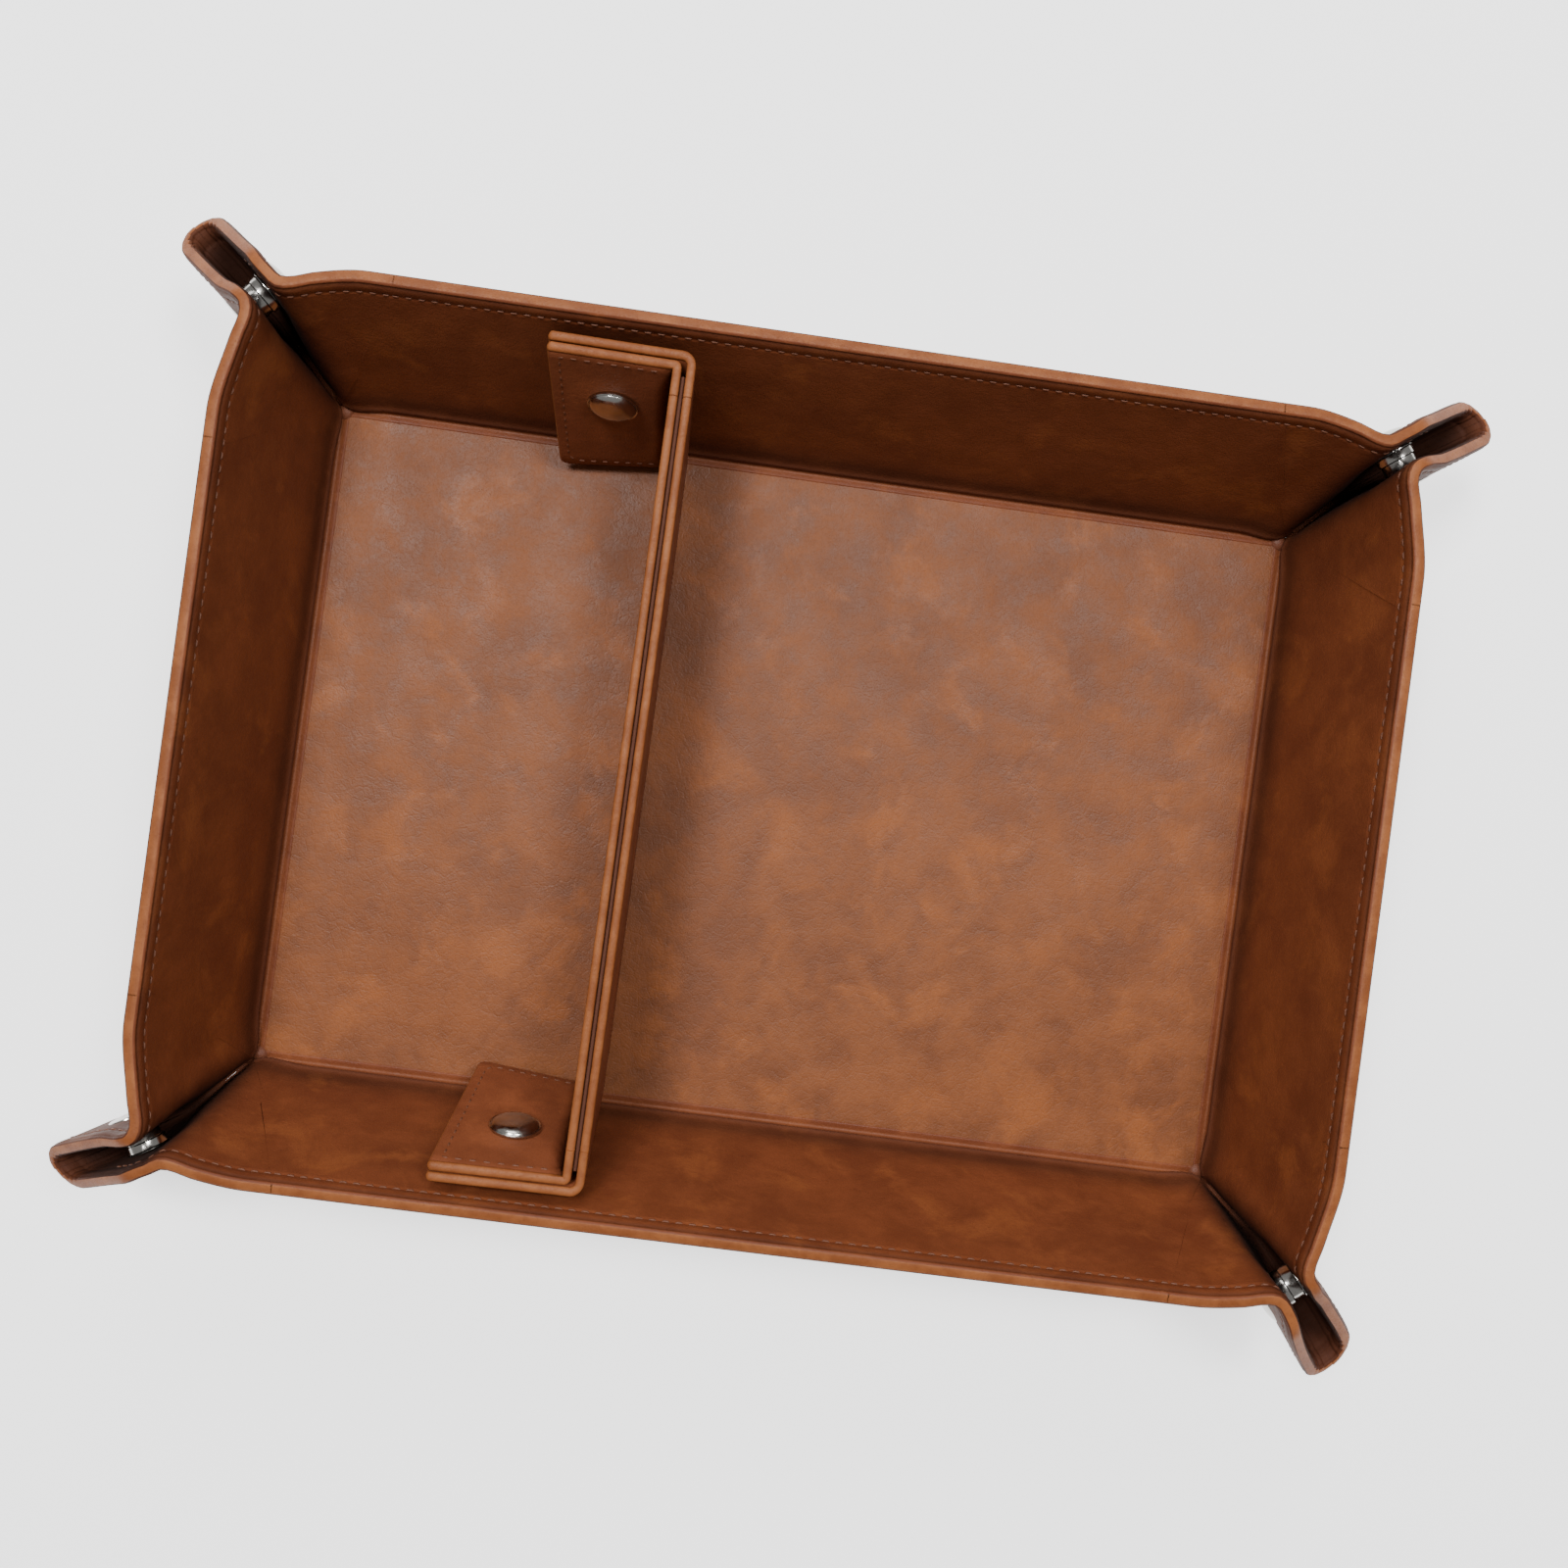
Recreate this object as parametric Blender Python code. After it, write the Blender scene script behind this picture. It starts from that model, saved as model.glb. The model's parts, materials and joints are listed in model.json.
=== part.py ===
"""Folding dice tray: a stiff leather sheet creased into a floor, four walls and pinched corners held
by press studs, with a lift-out divider whose two end tabs snap on to the long walls.

Frame: origin under the middle of the floor, +X along the long side, +Y to the back wall, +Z up. Metres.
Each panel is drawn flat, with its liner face at z = 0 and its thickness below, and is then folded up
by the empty on its crease."""
import math

import bmesh
import bpy
from mathutils import Matrix, Vector

MM = 0.001

# driving dimensions of the sheet
FLOOR_LENGTH = 220 * MM
FLOOR_WIDTH = 150 * MM
WALL_WIDTH = 53 * MM  # slanted width of a wall, crease to rim
CORNER_REACH = 45.5 * MM  # floor corner to the cut-off corner of the sheet, along its diagonal
LONG_LEAN = math.radians(13)
SHORT_LEAN = math.radians(8.5)
EAR_AZIMUTH = math.radians(45)  # a corner's fold line seen from above, measured from the x axis

# layers, measured down from the liner face
LINER_DEPTH = (0.0, 0.7 * MM)
BOARD_DEPTH = (1.0 * MM, 2.0 * MM)
OUTER_DEPTH = (2.3 * MM, 3.0 * MM)
SHEET = OUTER_DEPTH[1]
FLAP_THICKNESS = 2.4 * MM
FLAP_SPACING = 1.8 * MM  # liner face of a flap to the corner's mirror plane

# clearances
CREASE_GAP = 0.15 * MM
PINCH_CLEARANCE = 0.16 * MM  # from each edge at a pinch to the plane halfway between wall and flap
FOLD_GAP = 0.6 * MM
CORNER_HOLE = 3.0 * MM  # the flaps start this far above the crease line
BOARD_INSET = 6.0 * MM
GAP = 0.3 * MM

# divider
DIVIDER_X = -31 * MM
DIVIDER_LAYER = 1.7 * MM
DIVIDER_CORE = 0.7 * MM
DIVIDER_SEAM = 0.25 * MM
DIVIDER_TOP = 51.5 * MM
TAB_LENGTH = 25.2 * MM
TAB_SPAN = (2.5 * MM, 48.6 * MM)  # lowest and highest edge, along the wall's slant
TAB_STANDOFF = 2.8 * MM  # wall liner to the back of the tab
TAB_LAYER = 1.7 * MM
TAB_CORNER = 2.6 * MM
TAB_TOP_CORNER = 1.0 * MM

# press studs
CAP_RADIUS = 5.5 * MM
CAP_HEIGHT = 2.1 * MM
STEM_RADIUS = 1.4 * MM
HOLE_RADIUS = 1.8 * MM
SOCKET_RADII = (2.6 * MM, 4.4 * MM)
STUD_RADIUS = 4.2 * MM
KNOB_RADIUS = 1.9 * MM
POST_RADIUS = 4.4 * MM
POST_HEIGHT = 1.0 * MM
RIVET_GAP = 0.2 * MM
CORNER_SNAP = (7.9 * MM, 37 * MM)  # away from the pinch line, and along it from the floor corner
TAB_SNAP = (12 * MM, 30.5 * MM)  # from the divider's face, and up the wall's slant
TURNED_SIDES = 24

# stitching
THREAD_SETBACK = 4.0 * MM
THREAD_SIZE = 0.6 * MM

# name, turn about +Z, crease length, crease distance from the middle, names of the -x and +x ends
WALLS = (
    ("back", 0, FLOOR_LENGTH, FLOOR_WIDTH / 2, ("left", "right")),
    ("left", 90, FLOOR_WIDTH, FLOOR_LENGTH / 2, ("front", "back")),
    ("front", 180, FLOOR_LENGTH, FLOOR_WIDTH / 2, ("right", "left")),
    ("right", 270, FLOOR_WIDTH, FLOOR_LENGTH / 2, ("back", "front")),
)
LONG_WALLS = ("back", "front")

# colour, roughness, metallic
LINER = ((0.235, 0.105, 0.055), 0.45, 0.0)
WALL_LINER = ((0.115, 0.036, 0.015), 0.42, 0.0)
OUTER = ((0.10, 0.033, 0.015), 0.5, 0.0)
BOARD = ((0.32, 0.25, 0.18), 0.9, 0.0)
FLAP = ((0.13, 0.042, 0.018), 0.45, 0.0)
DIVIDER = ((0.16, 0.055, 0.025), 0.45, 0.0)
NICKEL = ((0.48, 0.47, 0.45), 0.28, 1.0)
THREAD = ((0.36, 0.17, 0.08), 0.8, 0.0)


def fold_corner():
    """How a corner folds, as (lean, slope, turn) for a long and a short wall, and the flap's angle.

    The pinch line is where the two walls' planes meet. On the flat sheet it stands at slope from the
    wall's own perpendicular, and the flap spans an angle from it to the fold it shares with the other
    flap. turn is the angle that folds the flap from its wall's plane into the upright ear."""
    long_slope = math.atan(math.tan(SHORT_LEAN) * math.cos(LONG_LEAN))
    short_slope = math.atan(math.tan(LONG_LEAN) * math.cos(SHORT_LEAN))
    flap_angle = (math.pi / 2 - long_slope - short_slope) / 2
    pinch = Vector((math.tan(SHORT_LEAN), math.tan(LONG_LEAN), 1)).normalized()
    outward = Vector((math.cos(EAR_AZIMUTH), math.sin(EAR_AZIMUTH), 0))
    level = pinch.dot(outward)
    rise = math.atan2(pinch.z, level) - math.acos(math.cos(flap_angle) / math.hypot(level, pinch.z))
    fold = outward * math.cos(rise) + Vector((0, 0, math.sin(rise)))
    ear = (fold - pinch * math.cos(flap_angle)).normalized()
    sides = []
    for lean, slope, along, out in (
        (LONG_LEAN, long_slope, Vector((1, 0, 0)), Vector((0, 1, 0))),
        (SHORT_LEAN, short_slope, Vector((0, 1, 0)), Vector((1, 0, 0))),
    ):
        up = out * math.sin(lean) + Vector((0, 0, math.cos(lean)))
        across = along * math.cos(slope) - up * math.sin(slope)
        sides.append((lean, slope, across.angle(ear)))
    return sides[0], sides[1], flap_angle


LONG_SIDE, SHORT_SIDE, FLAP_ANGLE = fold_corner()


def clear_scene():
    for obj in list(bpy.data.objects):
        bpy.data.objects.remove(obj, do_unlink=True)


def add_material(obj, finish):
    colour, roughness, metallic = finish
    material = bpy.data.materials.new(obj.name)
    material.use_nodes = True
    shader = material.node_tree.nodes["Principled BSDF"]
    shader.inputs["Base Color"].default_value = (*colour, 1.0)
    shader.inputs["Roughness"].default_value = roughness
    shader.inputs["Metallic"].default_value = metallic
    obj.data.materials.append(material)


def add_empty(name, matrix, parent=None):
    """An empty whose matrix is given in its parent's frame."""
    empty = bpy.data.objects.new(name, None)
    bpy.context.scene.collection.objects.link(empty)
    empty.empty_display_size = 0.01
    empty.parent = parent
    empty.matrix_local = matrix
    return empty


def add_object(name, bm, parent, finish, smooth=False):
    bmesh.ops.recalc_face_normals(bm, faces=bm.faces)
    mesh = bpy.data.meshes.new(name)
    bm.to_mesh(mesh)
    bm.free()
    if smooth:
        mesh.shade_smooth()
        mesh.set_sharp_from_angle(angle=math.radians(35))
    obj = bpy.data.objects.new(name, mesh)
    bpy.context.scene.collection.objects.link(obj)
    obj.parent = parent
    add_material(obj, finish)
    return obj


def rounded_outline(corners, steps=5):
    """A closed outline from (x, y, radius) corners, with each radius drawn as an arc."""
    outline = []
    for i, (x, y, radius) in enumerate(corners):
        here = Vector((x, y))
        if radius == 0:
            outline.append(here)
            continue
        before = (Vector(corners[i - 1][:2]) - here).normalized()
        after = (Vector(corners[(i + 1) % len(corners)][:2]) - here).normalized()
        half = before.angle(after) / 2
        centre = here + (before + after).normalized() * (radius / math.sin(half))
        start = here + before * (radius / math.tan(half)) - centre
        sweep = (math.pi - 2 * half) * (1 if before.cross(after) < 0 else -1)
        for k in range(steps + 1):
            outline.append(centre + Matrix.Rotation(sweep * k / steps, 2) @ start)
    return outline


def add_panel(name, outline, low, high, parent, finish):
    """A flat plate: the outline in x and y, extruded from z = low to z = high."""
    bm = bmesh.new()
    face = bm.faces.new([bm.verts.new((p[0], p[1], low)) for p in outline])
    raised = bmesh.ops.extrude_face_region(bm, geom=[face])
    verts = [v for v in raised["geom"] if isinstance(v, bmesh.types.BMVert)]
    bmesh.ops.translate(bm, verts=verts, vec=(0, 0, high - low))
    return add_object(name, bm, parent, finish)


def add_turned(name, profile, centre, parent, finish, ring=False):
    """A solid turned about z from (radius, z) points. A ring's profile closes on itself."""
    bm = bmesh.new()
    verts = [bm.verts.new((r, 0, z)) for r, z in profile]
    edges = [bm.edges.new(pair) for pair in zip(verts, verts[1:])]
    if ring:
        edges.append(bm.edges.new((verts[-1], verts[0])))
    bmesh.ops.spin(
        bm, geom=verts + edges, axis=(0, 0, 1), cent=(0, 0, 0), angle=2 * math.pi, steps=TURNED_SIDES
    )
    bmesh.ops.remove_doubles(bm, verts=bm.verts, dist=1e-6)
    bmesh.ops.translate(bm, verts=bm.verts, vec=(*centre, 0))
    return add_object(name, bm, parent, finish, smooth=True)


def cut_hole(panels, name, centre, parent):
    """One round rivet hole through every panel given, in their common frame."""
    bm = bmesh.new()
    bmesh.ops.create_cone(
        bm, cap_ends=True, segments=24, radius1=HOLE_RADIUS, radius2=HOLE_RADIUS, depth=20 * MM
    )
    bmesh.ops.translate(bm, verts=bm.verts, vec=(*centre, 0))
    mesh = bpy.data.meshes.new(name)
    bm.to_mesh(mesh)
    bm.free()
    cutter = bpy.data.objects.new(name, mesh)
    bpy.context.scene.collection.objects.link(cutter)
    cutter.parent = parent
    cutter.hide_render = True
    cutter.display_type = "WIRE"
    for panel in panels:
        boolean = panel.modifiers.new("rivet_hole", "BOOLEAN")
        boolean.operation = "DIFFERENCE"
        boolean.solver = "EXACT"
        boolean.object = cutter


def build_floor(root):
    for layer, depth, inset, finish in (
        ("liner", LINER_DEPTH, CREASE_GAP, LINER),
        ("board", BOARD_DEPTH, BOARD_INSET, BOARD),
        ("outer", OUTER_DEPTH, CREASE_GAP, OUTER),
    ):
        x = FLOOR_LENGTH / 2 - inset
        y = FLOOR_WIDTH / 2 - inset
        outline = [(-x, -y), (x, -y), (x, y), (-x, y)]
        add_panel(f"floor_{layer}", outline, SHEET - depth[1], SHEET - depth[0], root, finish)


def pinch_gap(thickness, turn):
    """How far a sheet's edge stands back from its hinge line, so that the fold can close."""
    return thickness * math.tan(turn / 2) + PINCH_CLEARANCE


def wall_outline(length, side, low, high, end_gap):
    """A wall's flat outline between two distances from the crease, its ends along the pinch lines."""
    _, slope, turn = side

    def half(y):
        return length / 2 + y * math.tan(slope) - (FLAP_SPACING / math.sin(turn) + end_gap) / math.cos(slope)

    return [(-half(low), low), (half(low), low), (half(high), high), (-half(high), high)]


def build_wall(name, hinge, length, side):
    panels = []
    end_gap = pinch_gap(SHEET, side[2])
    for layer, depth, inset, finish in (
        ("liner", LINER_DEPTH, 0, WALL_LINER),
        ("board", BOARD_DEPTH, BOARD_INSET, BOARD),
        ("outer", OUTER_DEPTH, 0, OUTER),
    ):
        low = max(CREASE_GAP, inset)
        outline = wall_outline(length, side, low, WALL_WIDTH - inset, end_gap + inset)
        panels.append(add_panel(f"wall_{name}_{layer}", outline, -depth[1], -depth[0], hinge, finish))
    seam = WALL_WIDTH - THREAD_SETBACK
    outline = wall_outline(length, side, seam, seam + THREAD_SIZE, THREAD_SETBACK)
    add_panel(f"rim_thread_{name}", outline, GAP, GAP + THREAD_SIZE, hinge, THREAD)
    return panels


def flap_outline(end, side):
    """Half of a pinched corner in its hinge's frame: x away from the wall, y along the pinch line.

    The corners are first placed on the flat sheet from the floor's corner, then turned by the slope."""
    _, slope, turn = side
    shift = FLAP_SPACING / math.sin(turn)
    start = (shift - pinch_gap(FLAP_THICKNESS, turn)) / math.cos(slope)
    lean_in = math.tan(slope)
    fold = math.tan(slope + FLAP_ANGLE)  # x over y along the fold
    fold_back = FOLD_GAP / math.cos(slope + FLAP_ANGLE)
    cut = CORNER_REACH * math.sqrt(2)
    tip = (cut + fold_back) / (1 + fold)
    corners = (
        (CORNER_HOLE * lean_in - start, CORNER_HOLE, 0),
        (CORNER_HOLE * fold - fold_back, CORNER_HOLE, 0),
        (tip * fold - fold_back, tip, 3 * MM),
        (cut - WALL_WIDTH, WALL_WIDTH, 0),
        (WALL_WIDTH * lean_in - start, WALL_WIDTH, 0),
    )
    turned = []
    for x, y, radius in corners:
        across = x * math.cos(slope) - y * math.sin(slope) + shift
        along = x * math.sin(slope) + y * math.cos(slope)
        turned.append((end * across, along, radius))
    return rounded_outline(turned)


def cap_profile(base, tip):
    """Domed cap outside the leather, with its stem: base is the leather's face, tip the stem's end."""
    out = -1 if tip > base else 1
    foot = base + out * RIVET_GAP
    dome = [
        (CAP_RADIUS * math.sin(a), foot + out * (0.4 * MM + (CAP_HEIGHT - 0.4 * MM) * math.cos(a)))
        for a in (math.radians(d) for d in (0, 18, 36, 54, 70, 84, 90))
    ]
    return dome + [(CAP_RADIUS, foot), (STEM_RADIUS, foot), (STEM_RADIUS, tip), (0, tip)]


def socket_profile(base, height):
    """Spring ring standing on the leather at base, rising by height."""
    inner, outer = SOCKET_RADII
    low = base + math.copysign(RIVET_GAP, height)
    top = base + height
    lip = math.copysign(0.4 * MM, height)
    return [
        (outer, low),
        (outer, top - 2 * lip),
        (outer - 0.8 * MM, top - lip),
        (inner + 0.7 * MM, top),
        (inner, top - lip),
        (inner, low),
    ]


def stud_profile(base, flange, knob):
    """Stud flange standing on the leather at base, with the knob that snaps into the socket."""
    low = base + math.copysign(RIVET_GAP, knob)
    step = math.copysign(0.35 * MM, knob)
    return [
        (0, low),
        (STUD_RADIUS, low),
        (STUD_RADIUS, base + flange - step),
        (STUD_RADIUS - 0.6 * MM, base + flange),
        (KNOB_RADIUS - 0.25 * MM, base + flange),
        (KNOB_RADIUS, base + knob - 2 * step),
        (KNOB_RADIUS - 0.4 * MM, base + knob),
        (0, base + knob),
    ]


def post_profile(base, tip):
    """Flat back plate of a stud, with the stem that goes through the leather."""
    out = -1 if tip > base else 1
    foot = base + out * RIVET_GAP
    return [
        (0, foot + out * POST_HEIGHT),
        (POST_RADIUS - 0.4 * MM, foot + out * POST_HEIGHT),
        (POST_RADIUS, foot + out * 0.6 * POST_HEIGHT),
        (POST_RADIUS, foot),
        (STEM_RADIUS, foot),
        (STEM_RADIUS, tip),
        (0, tip),
    ]


def build_flap(wall, end, sign, wall_hinge, length, side):
    """One half of a pinched corner on a wall's end, with its half of the corner's press stud.

    sign is -1 at the wall's -x end and 1 at its +x end."""
    _, slope, turn = side
    across = Vector((sign * math.cos(slope), -math.sin(slope), 0))
    pivot = Vector((sign * length / 2, 0, 0)) - across * (FLAP_SPACING / math.sin(turn))
    placed = Matrix.Translation(pivot) @ Matrix.Rotation(-sign * slope, 4, "Z")
    placed = placed @ Matrix.Rotation(sign * turn, 4, "Y")
    hinge = add_empty(f"hinge_flap_{wall}_at_{end}", placed, wall_hinge)
    flap = add_panel(f"{wall}_wall_{end}_flap", flap_outline(sign, side), -FLAP_THICKNESS, 0, hinge, FLAP)
    centre = (sign * (CORNER_SNAP[0] + FLAP_SPACING / math.tan(turn)), CORNER_SNAP[1])
    cut_hole([flap], f"cutter_{wall}_{end}", centre, hinge)
    if wall in LONG_WALLS:
        corner = f"{wall}_{end}"
        socket = socket_profile(0, FLAP_SPACING - RIVET_GAP)
        add_turned(f"corner_cap_{corner}", cap_profile(-FLAP_THICKNESS, 0), centre, hinge, NICKEL)
        add_turned(f"corner_socket_{corner}", socket, centre, hinge, NICKEL, ring=True)
    else:
        corner = f"{end}_{wall}"
        stud = stud_profile(0, FLAP_SPACING - 0.5 * MM, FLAP_SPACING + 1.1 * MM)
        add_turned(f"corner_stud_{corner}", stud, centre, hinge, NICKEL)
        add_turned(f"corner_post_{corner}", post_profile(-FLAP_THICKNESS, 0), centre, hinge, NICKEL)


def divider_end(z, inset):
    """Half the divider's length at height z, inset from the long wall's liner."""
    return FLOOR_WIDTH / 2 + (z - SHEET) * math.tan(LONG_LEAN) - inset / math.cos(LONG_LEAN)


def build_divider(root):
    """The divider's three layers, standing in the plane x = DIVIDER_X."""
    upright = Matrix(((0, 0, 1, DIVIDER_X), (1, 0, 0, 0), (0, 1, 0, 0), (0, 0, 0, 1)))
    slide = add_empty("slide_divider", upright, root)
    low = SHEET + GAP
    inset = TAB_STANDOFF + TAB_LAYER + GAP
    core = DIVIDER_CORE / 2
    skin = core + DIVIDER_SEAM
    for name, near, far, trim, finish in (
        ("divider_core", -core, core, 1.5 * MM, BOARD),
        ("divider_right_skin", skin, skin + DIVIDER_LAYER, 0, DIVIDER),
        ("divider_left_skin", -skin - DIVIDER_LAYER, -skin, 0, DIVIDER),
    ):
        bottom = divider_end(low + trim, inset + trim)
        top = divider_end(DIVIDER_TOP - trim, inset + trim)
        foot = low + trim
        head = DIVIDER_TOP - trim
        outline = [(-bottom, foot), (bottom, foot), (top, head), (-top, head)]
        add_panel(name, outline, near, far, slide, finish)
    return slide


def build_tab(wall, side, slide, wall_matrix):
    """One end tab of the divider, along the wall, and its press stud. x runs along the crease."""
    face = DIVIDER_CORE / 2 + DIVIDER_SEAM + DIVIDER_LAYER
    thickness = 2 * TAB_LAYER + GAP
    left_face = DIVIDER_X - face
    pivot = wall_matrix @ Matrix.Translation((-side * left_face, 0, TAB_STANDOFF + thickness))
    hinge = add_empty(f"hinge_tab_{wall}", slide.matrix_world.inverted() @ pivot, slide)
    low, high = TAB_SPAN
    end = side * TAB_LENGTH
    wrap = -side * 2 * face
    layers = []
    for layer, start, back in (("inner", side * RIVET_GAP, -TAB_LAYER), ("outer", wrap, -thickness)):
        corners = ((start, low, 0), (end, low, TAB_CORNER), (end, high, TAB_TOP_CORNER), (start, high, 0))
        outline = rounded_outline(corners)
        layers.append(add_panel(f"tab_{wall}_{layer}", outline, back, back + TAB_LAYER, hinge, DIVIDER))
    centre = (side * TAB_SNAP[0], TAB_SNAP[1])
    cut_hole(layers, f"cutter_tab_{wall}", centre, hinge)
    add_turned(f"tab_cap_{wall}", cap_profile(0, -thickness), centre, hinge, NICKEL)
    socket = socket_profile(-thickness, -TAB_STANDOFF / 2)
    add_turned(f"tab_socket_{wall}", socket, centre, hinge, NICKEL, ring=True)
    return (side * (TAB_SNAP[0] - left_face), TAB_SNAP[1])


def build_wall_stud(wall, hinge, panels, centre):
    """The long wall's half of a tab's press stud."""
    cut_hole(panels, f"cutter_wall_{wall}", centre, hinge)
    stud = stud_profile(0, 0.4 * TAB_STANDOFF, TAB_STANDOFF - 0.4 * MM)
    add_turned(f"wall_stud_{wall}", stud, centre, hinge, NICKEL)
    add_turned(f"wall_post_{wall}", post_profile(-SHEET, 0), centre, hinge, NICKEL)


def main():
    clear_scene()
    root = add_empty("tray", Matrix.Identity(4))
    build_floor(root)
    slide = build_divider(root)
    bpy.context.view_layer.update()
    for name, turn, length, reach, ends in WALLS:
        side = LONG_SIDE if name in LONG_WALLS else SHORT_SIDE
        placed = Matrix.Rotation(math.radians(turn), 4, "Z") @ Matrix.Translation((0, reach, SHEET))
        placed = placed @ Matrix.Rotation(math.pi / 2 - side[0], 4, "X")
        hinge = add_empty(f"hinge_wall_{name}", placed, root)
        panels = build_wall(name, hinge, length, side)
        for sign, end in zip((-1, 1), ends):
            build_flap(name, end, sign, hinge, length, side)
        if name in LONG_WALLS:
            tab_sign = -1 if name == "back" else 1
            build_wall_stud(name, hinge, panels, build_tab(name, tab_sign, slide, placed))


main()
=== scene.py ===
"""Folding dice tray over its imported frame: one stitched leather sheet folded up at creases and pinched
corners, a two-ply divider with snap tabs, and the press studs. Row frame, metres, +Z up."""

import json
import math
from types import SimpleNamespace

import bmesh
import bpy
import numpy as np
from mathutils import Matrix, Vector


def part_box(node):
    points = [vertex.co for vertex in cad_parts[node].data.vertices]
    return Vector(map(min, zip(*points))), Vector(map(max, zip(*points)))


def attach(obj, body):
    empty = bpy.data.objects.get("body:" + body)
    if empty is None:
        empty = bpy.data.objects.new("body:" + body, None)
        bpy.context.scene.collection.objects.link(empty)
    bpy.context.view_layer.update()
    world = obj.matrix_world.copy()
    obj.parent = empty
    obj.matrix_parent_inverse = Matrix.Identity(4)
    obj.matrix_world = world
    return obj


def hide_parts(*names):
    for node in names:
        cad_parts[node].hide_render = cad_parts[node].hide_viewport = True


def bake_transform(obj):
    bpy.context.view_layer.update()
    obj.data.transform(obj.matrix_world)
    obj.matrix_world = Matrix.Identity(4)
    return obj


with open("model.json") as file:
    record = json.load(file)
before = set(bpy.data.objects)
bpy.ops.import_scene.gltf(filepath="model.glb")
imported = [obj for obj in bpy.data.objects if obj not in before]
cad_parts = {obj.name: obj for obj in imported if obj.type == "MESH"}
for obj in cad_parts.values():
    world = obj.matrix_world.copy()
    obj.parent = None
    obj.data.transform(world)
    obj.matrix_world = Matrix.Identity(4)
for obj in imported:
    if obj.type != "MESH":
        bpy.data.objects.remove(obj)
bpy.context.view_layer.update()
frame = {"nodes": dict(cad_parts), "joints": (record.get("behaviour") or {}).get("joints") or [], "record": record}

MM = 0.001
UP = np.array((0.0, 0.0, 1.0))
JOINTS = {joint["name"]: joint for joint in frame["joints"]}
RATIOS = {c["joint"]: c["ratio"] for c in frame["record"]["behaviour"]["couplings"]}
HALF_LENGTH = abs(JOINTS["fold_wall_right"]["pos_m"][0])
HALF_WIDTH = abs(JOINTS["fold_wall_back"]["pos_m"][1])
SHEET = JOINTS["fold_wall_back"]["pos_m"][2]

# the flat sheet
WALL_WIDTH = 53 * MM
CORNER_CUT = 45.5 * math.sqrt(2) * MM  # u + v along the cut-off corner, from the floor's corner
CORNER_ROUND = 6 * MM
FLOOR_MARGIN = 2 * MM  # the wall pieces take over this far inside the crease
WEDGE = math.radians(20)  # the corner pieces start at this angle inside the wall's perpendicular

# folds
CREASE_HALF = 1.5 * MM
PINCH_HALF = 8.5 * MM
FOLD_ZONE = 60 * MM  # the sheet folds within this distance of the floor's corner
FOLD_LINER = 6.5 * MM  # the liner closes over this distance before a corner's fold
FOLD_OUTER = 6.5 * MM
FOLD_DEPTH = 2.0 * MM
PUCKER = 0.42 * MM
SNAP_ROOM = 0.8 * MM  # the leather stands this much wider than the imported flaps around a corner's snap
SNAP_OUT = 0.7 * SNAP_ROOM  # how far that moves a corner's cap and post outwards
SQUEEZE = 0.3  # how far the pinch is pressed shut close to the floor's corner

# how the folded leather strays from flat panels
RIM_BOW = {"left": 1.9 * MM, "right": 1.9 * MM, "back": 2.7 * MM, "front": 1.4 * MM}
NECK_DIP = (1.2 * MM, 0.7 * MM)  # along x and along y
STRAIGHT_TO = 14 * MM  # the rims start to dip this far before the floor's corner
RIM_HEIGHT = 51.5 * MM
# |x| + |y| beyond the floor's corner, at an ear's neck and at its tip
NECK_REACH = 19.6 * MM
TIP_REACH = 54.2 * MM
EAR_TUCK = 2.6 * MM  # the ears' lower parts lean this much the same way round the tray
# each ear's swing away from the diagonal at its tip, along x and y outwards, and the flare of each half
EARS = {
    (-1, 1): (5.0 * MM, 2.3 * MM, 0.2 * MM),
    (1, 1): (8.2 * MM, 1.0 * MM, 0.2 * MM),
    (-1, -1): (7.8 * MM, -3.4 * MM, 0.1 * MM),
    (1, -1): (-0.6 * MM, 8.3 * MM, 0.8 * MM),
}

# edges and stitching
SEAM = 3.7 * MM  # stitch line to the cut edge
STITCH_PITCH = 2.7 * MM
STITCH_LENGTH = 1.9 * MM
STITCH_RADIUS = 0.21 * MM
STITCH_SUNK = 0.06 * MM
EDGE_GROOVE = 0.3 * MM  # depth of the line creased beside the edge
EDGE_BAND = 4.6 * MM  # the shaped border of a sheet is this wide

# material slots of every leather mesh
LINER_SIDE, OUTER_SIDE, EDGE = 0, 1, 2

# divider
PLY = 1.8 * MM
PLY_GAP = 1.0 * MM
TAB_LENGTH = 25.2 * MM
TAB_SPAN = (2.5 * MM, 48.6 * MM)
TAB_CORNERS = (2.6 * MM, 1 * MM)
WRAP_FROM = 7 * MM  # the tabs' wrapped plies start this far before the divider's end
TAB_SEAM = 2.4 * MM  # a tab's stitch line to its edges
SEAM_BEND = 3 * MM  # the stitch line's radius at a tab's lower free corner
TOP_SHIFT = (-0.2 * MM, 0.25 * MM)  # its top leans to the right: in the middle, and more at the back
FOOT_SHIFT = -1.4 * MM
TAB_LEAN = (0.3 * MM, -2.4 * MM)  # a tab's free end at its top and foot, towards the wall
TAB_FOOT = 1.0 * MM  # a tab's foot at the divider, towards the wall
# how far a tab's free end runs past square, at its top and at its foot
TAB_SKEW = {"back": (0.3 * MM, -1.2 * MM), "front": (1.8 * MM, -1.2 * MM)}

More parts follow.
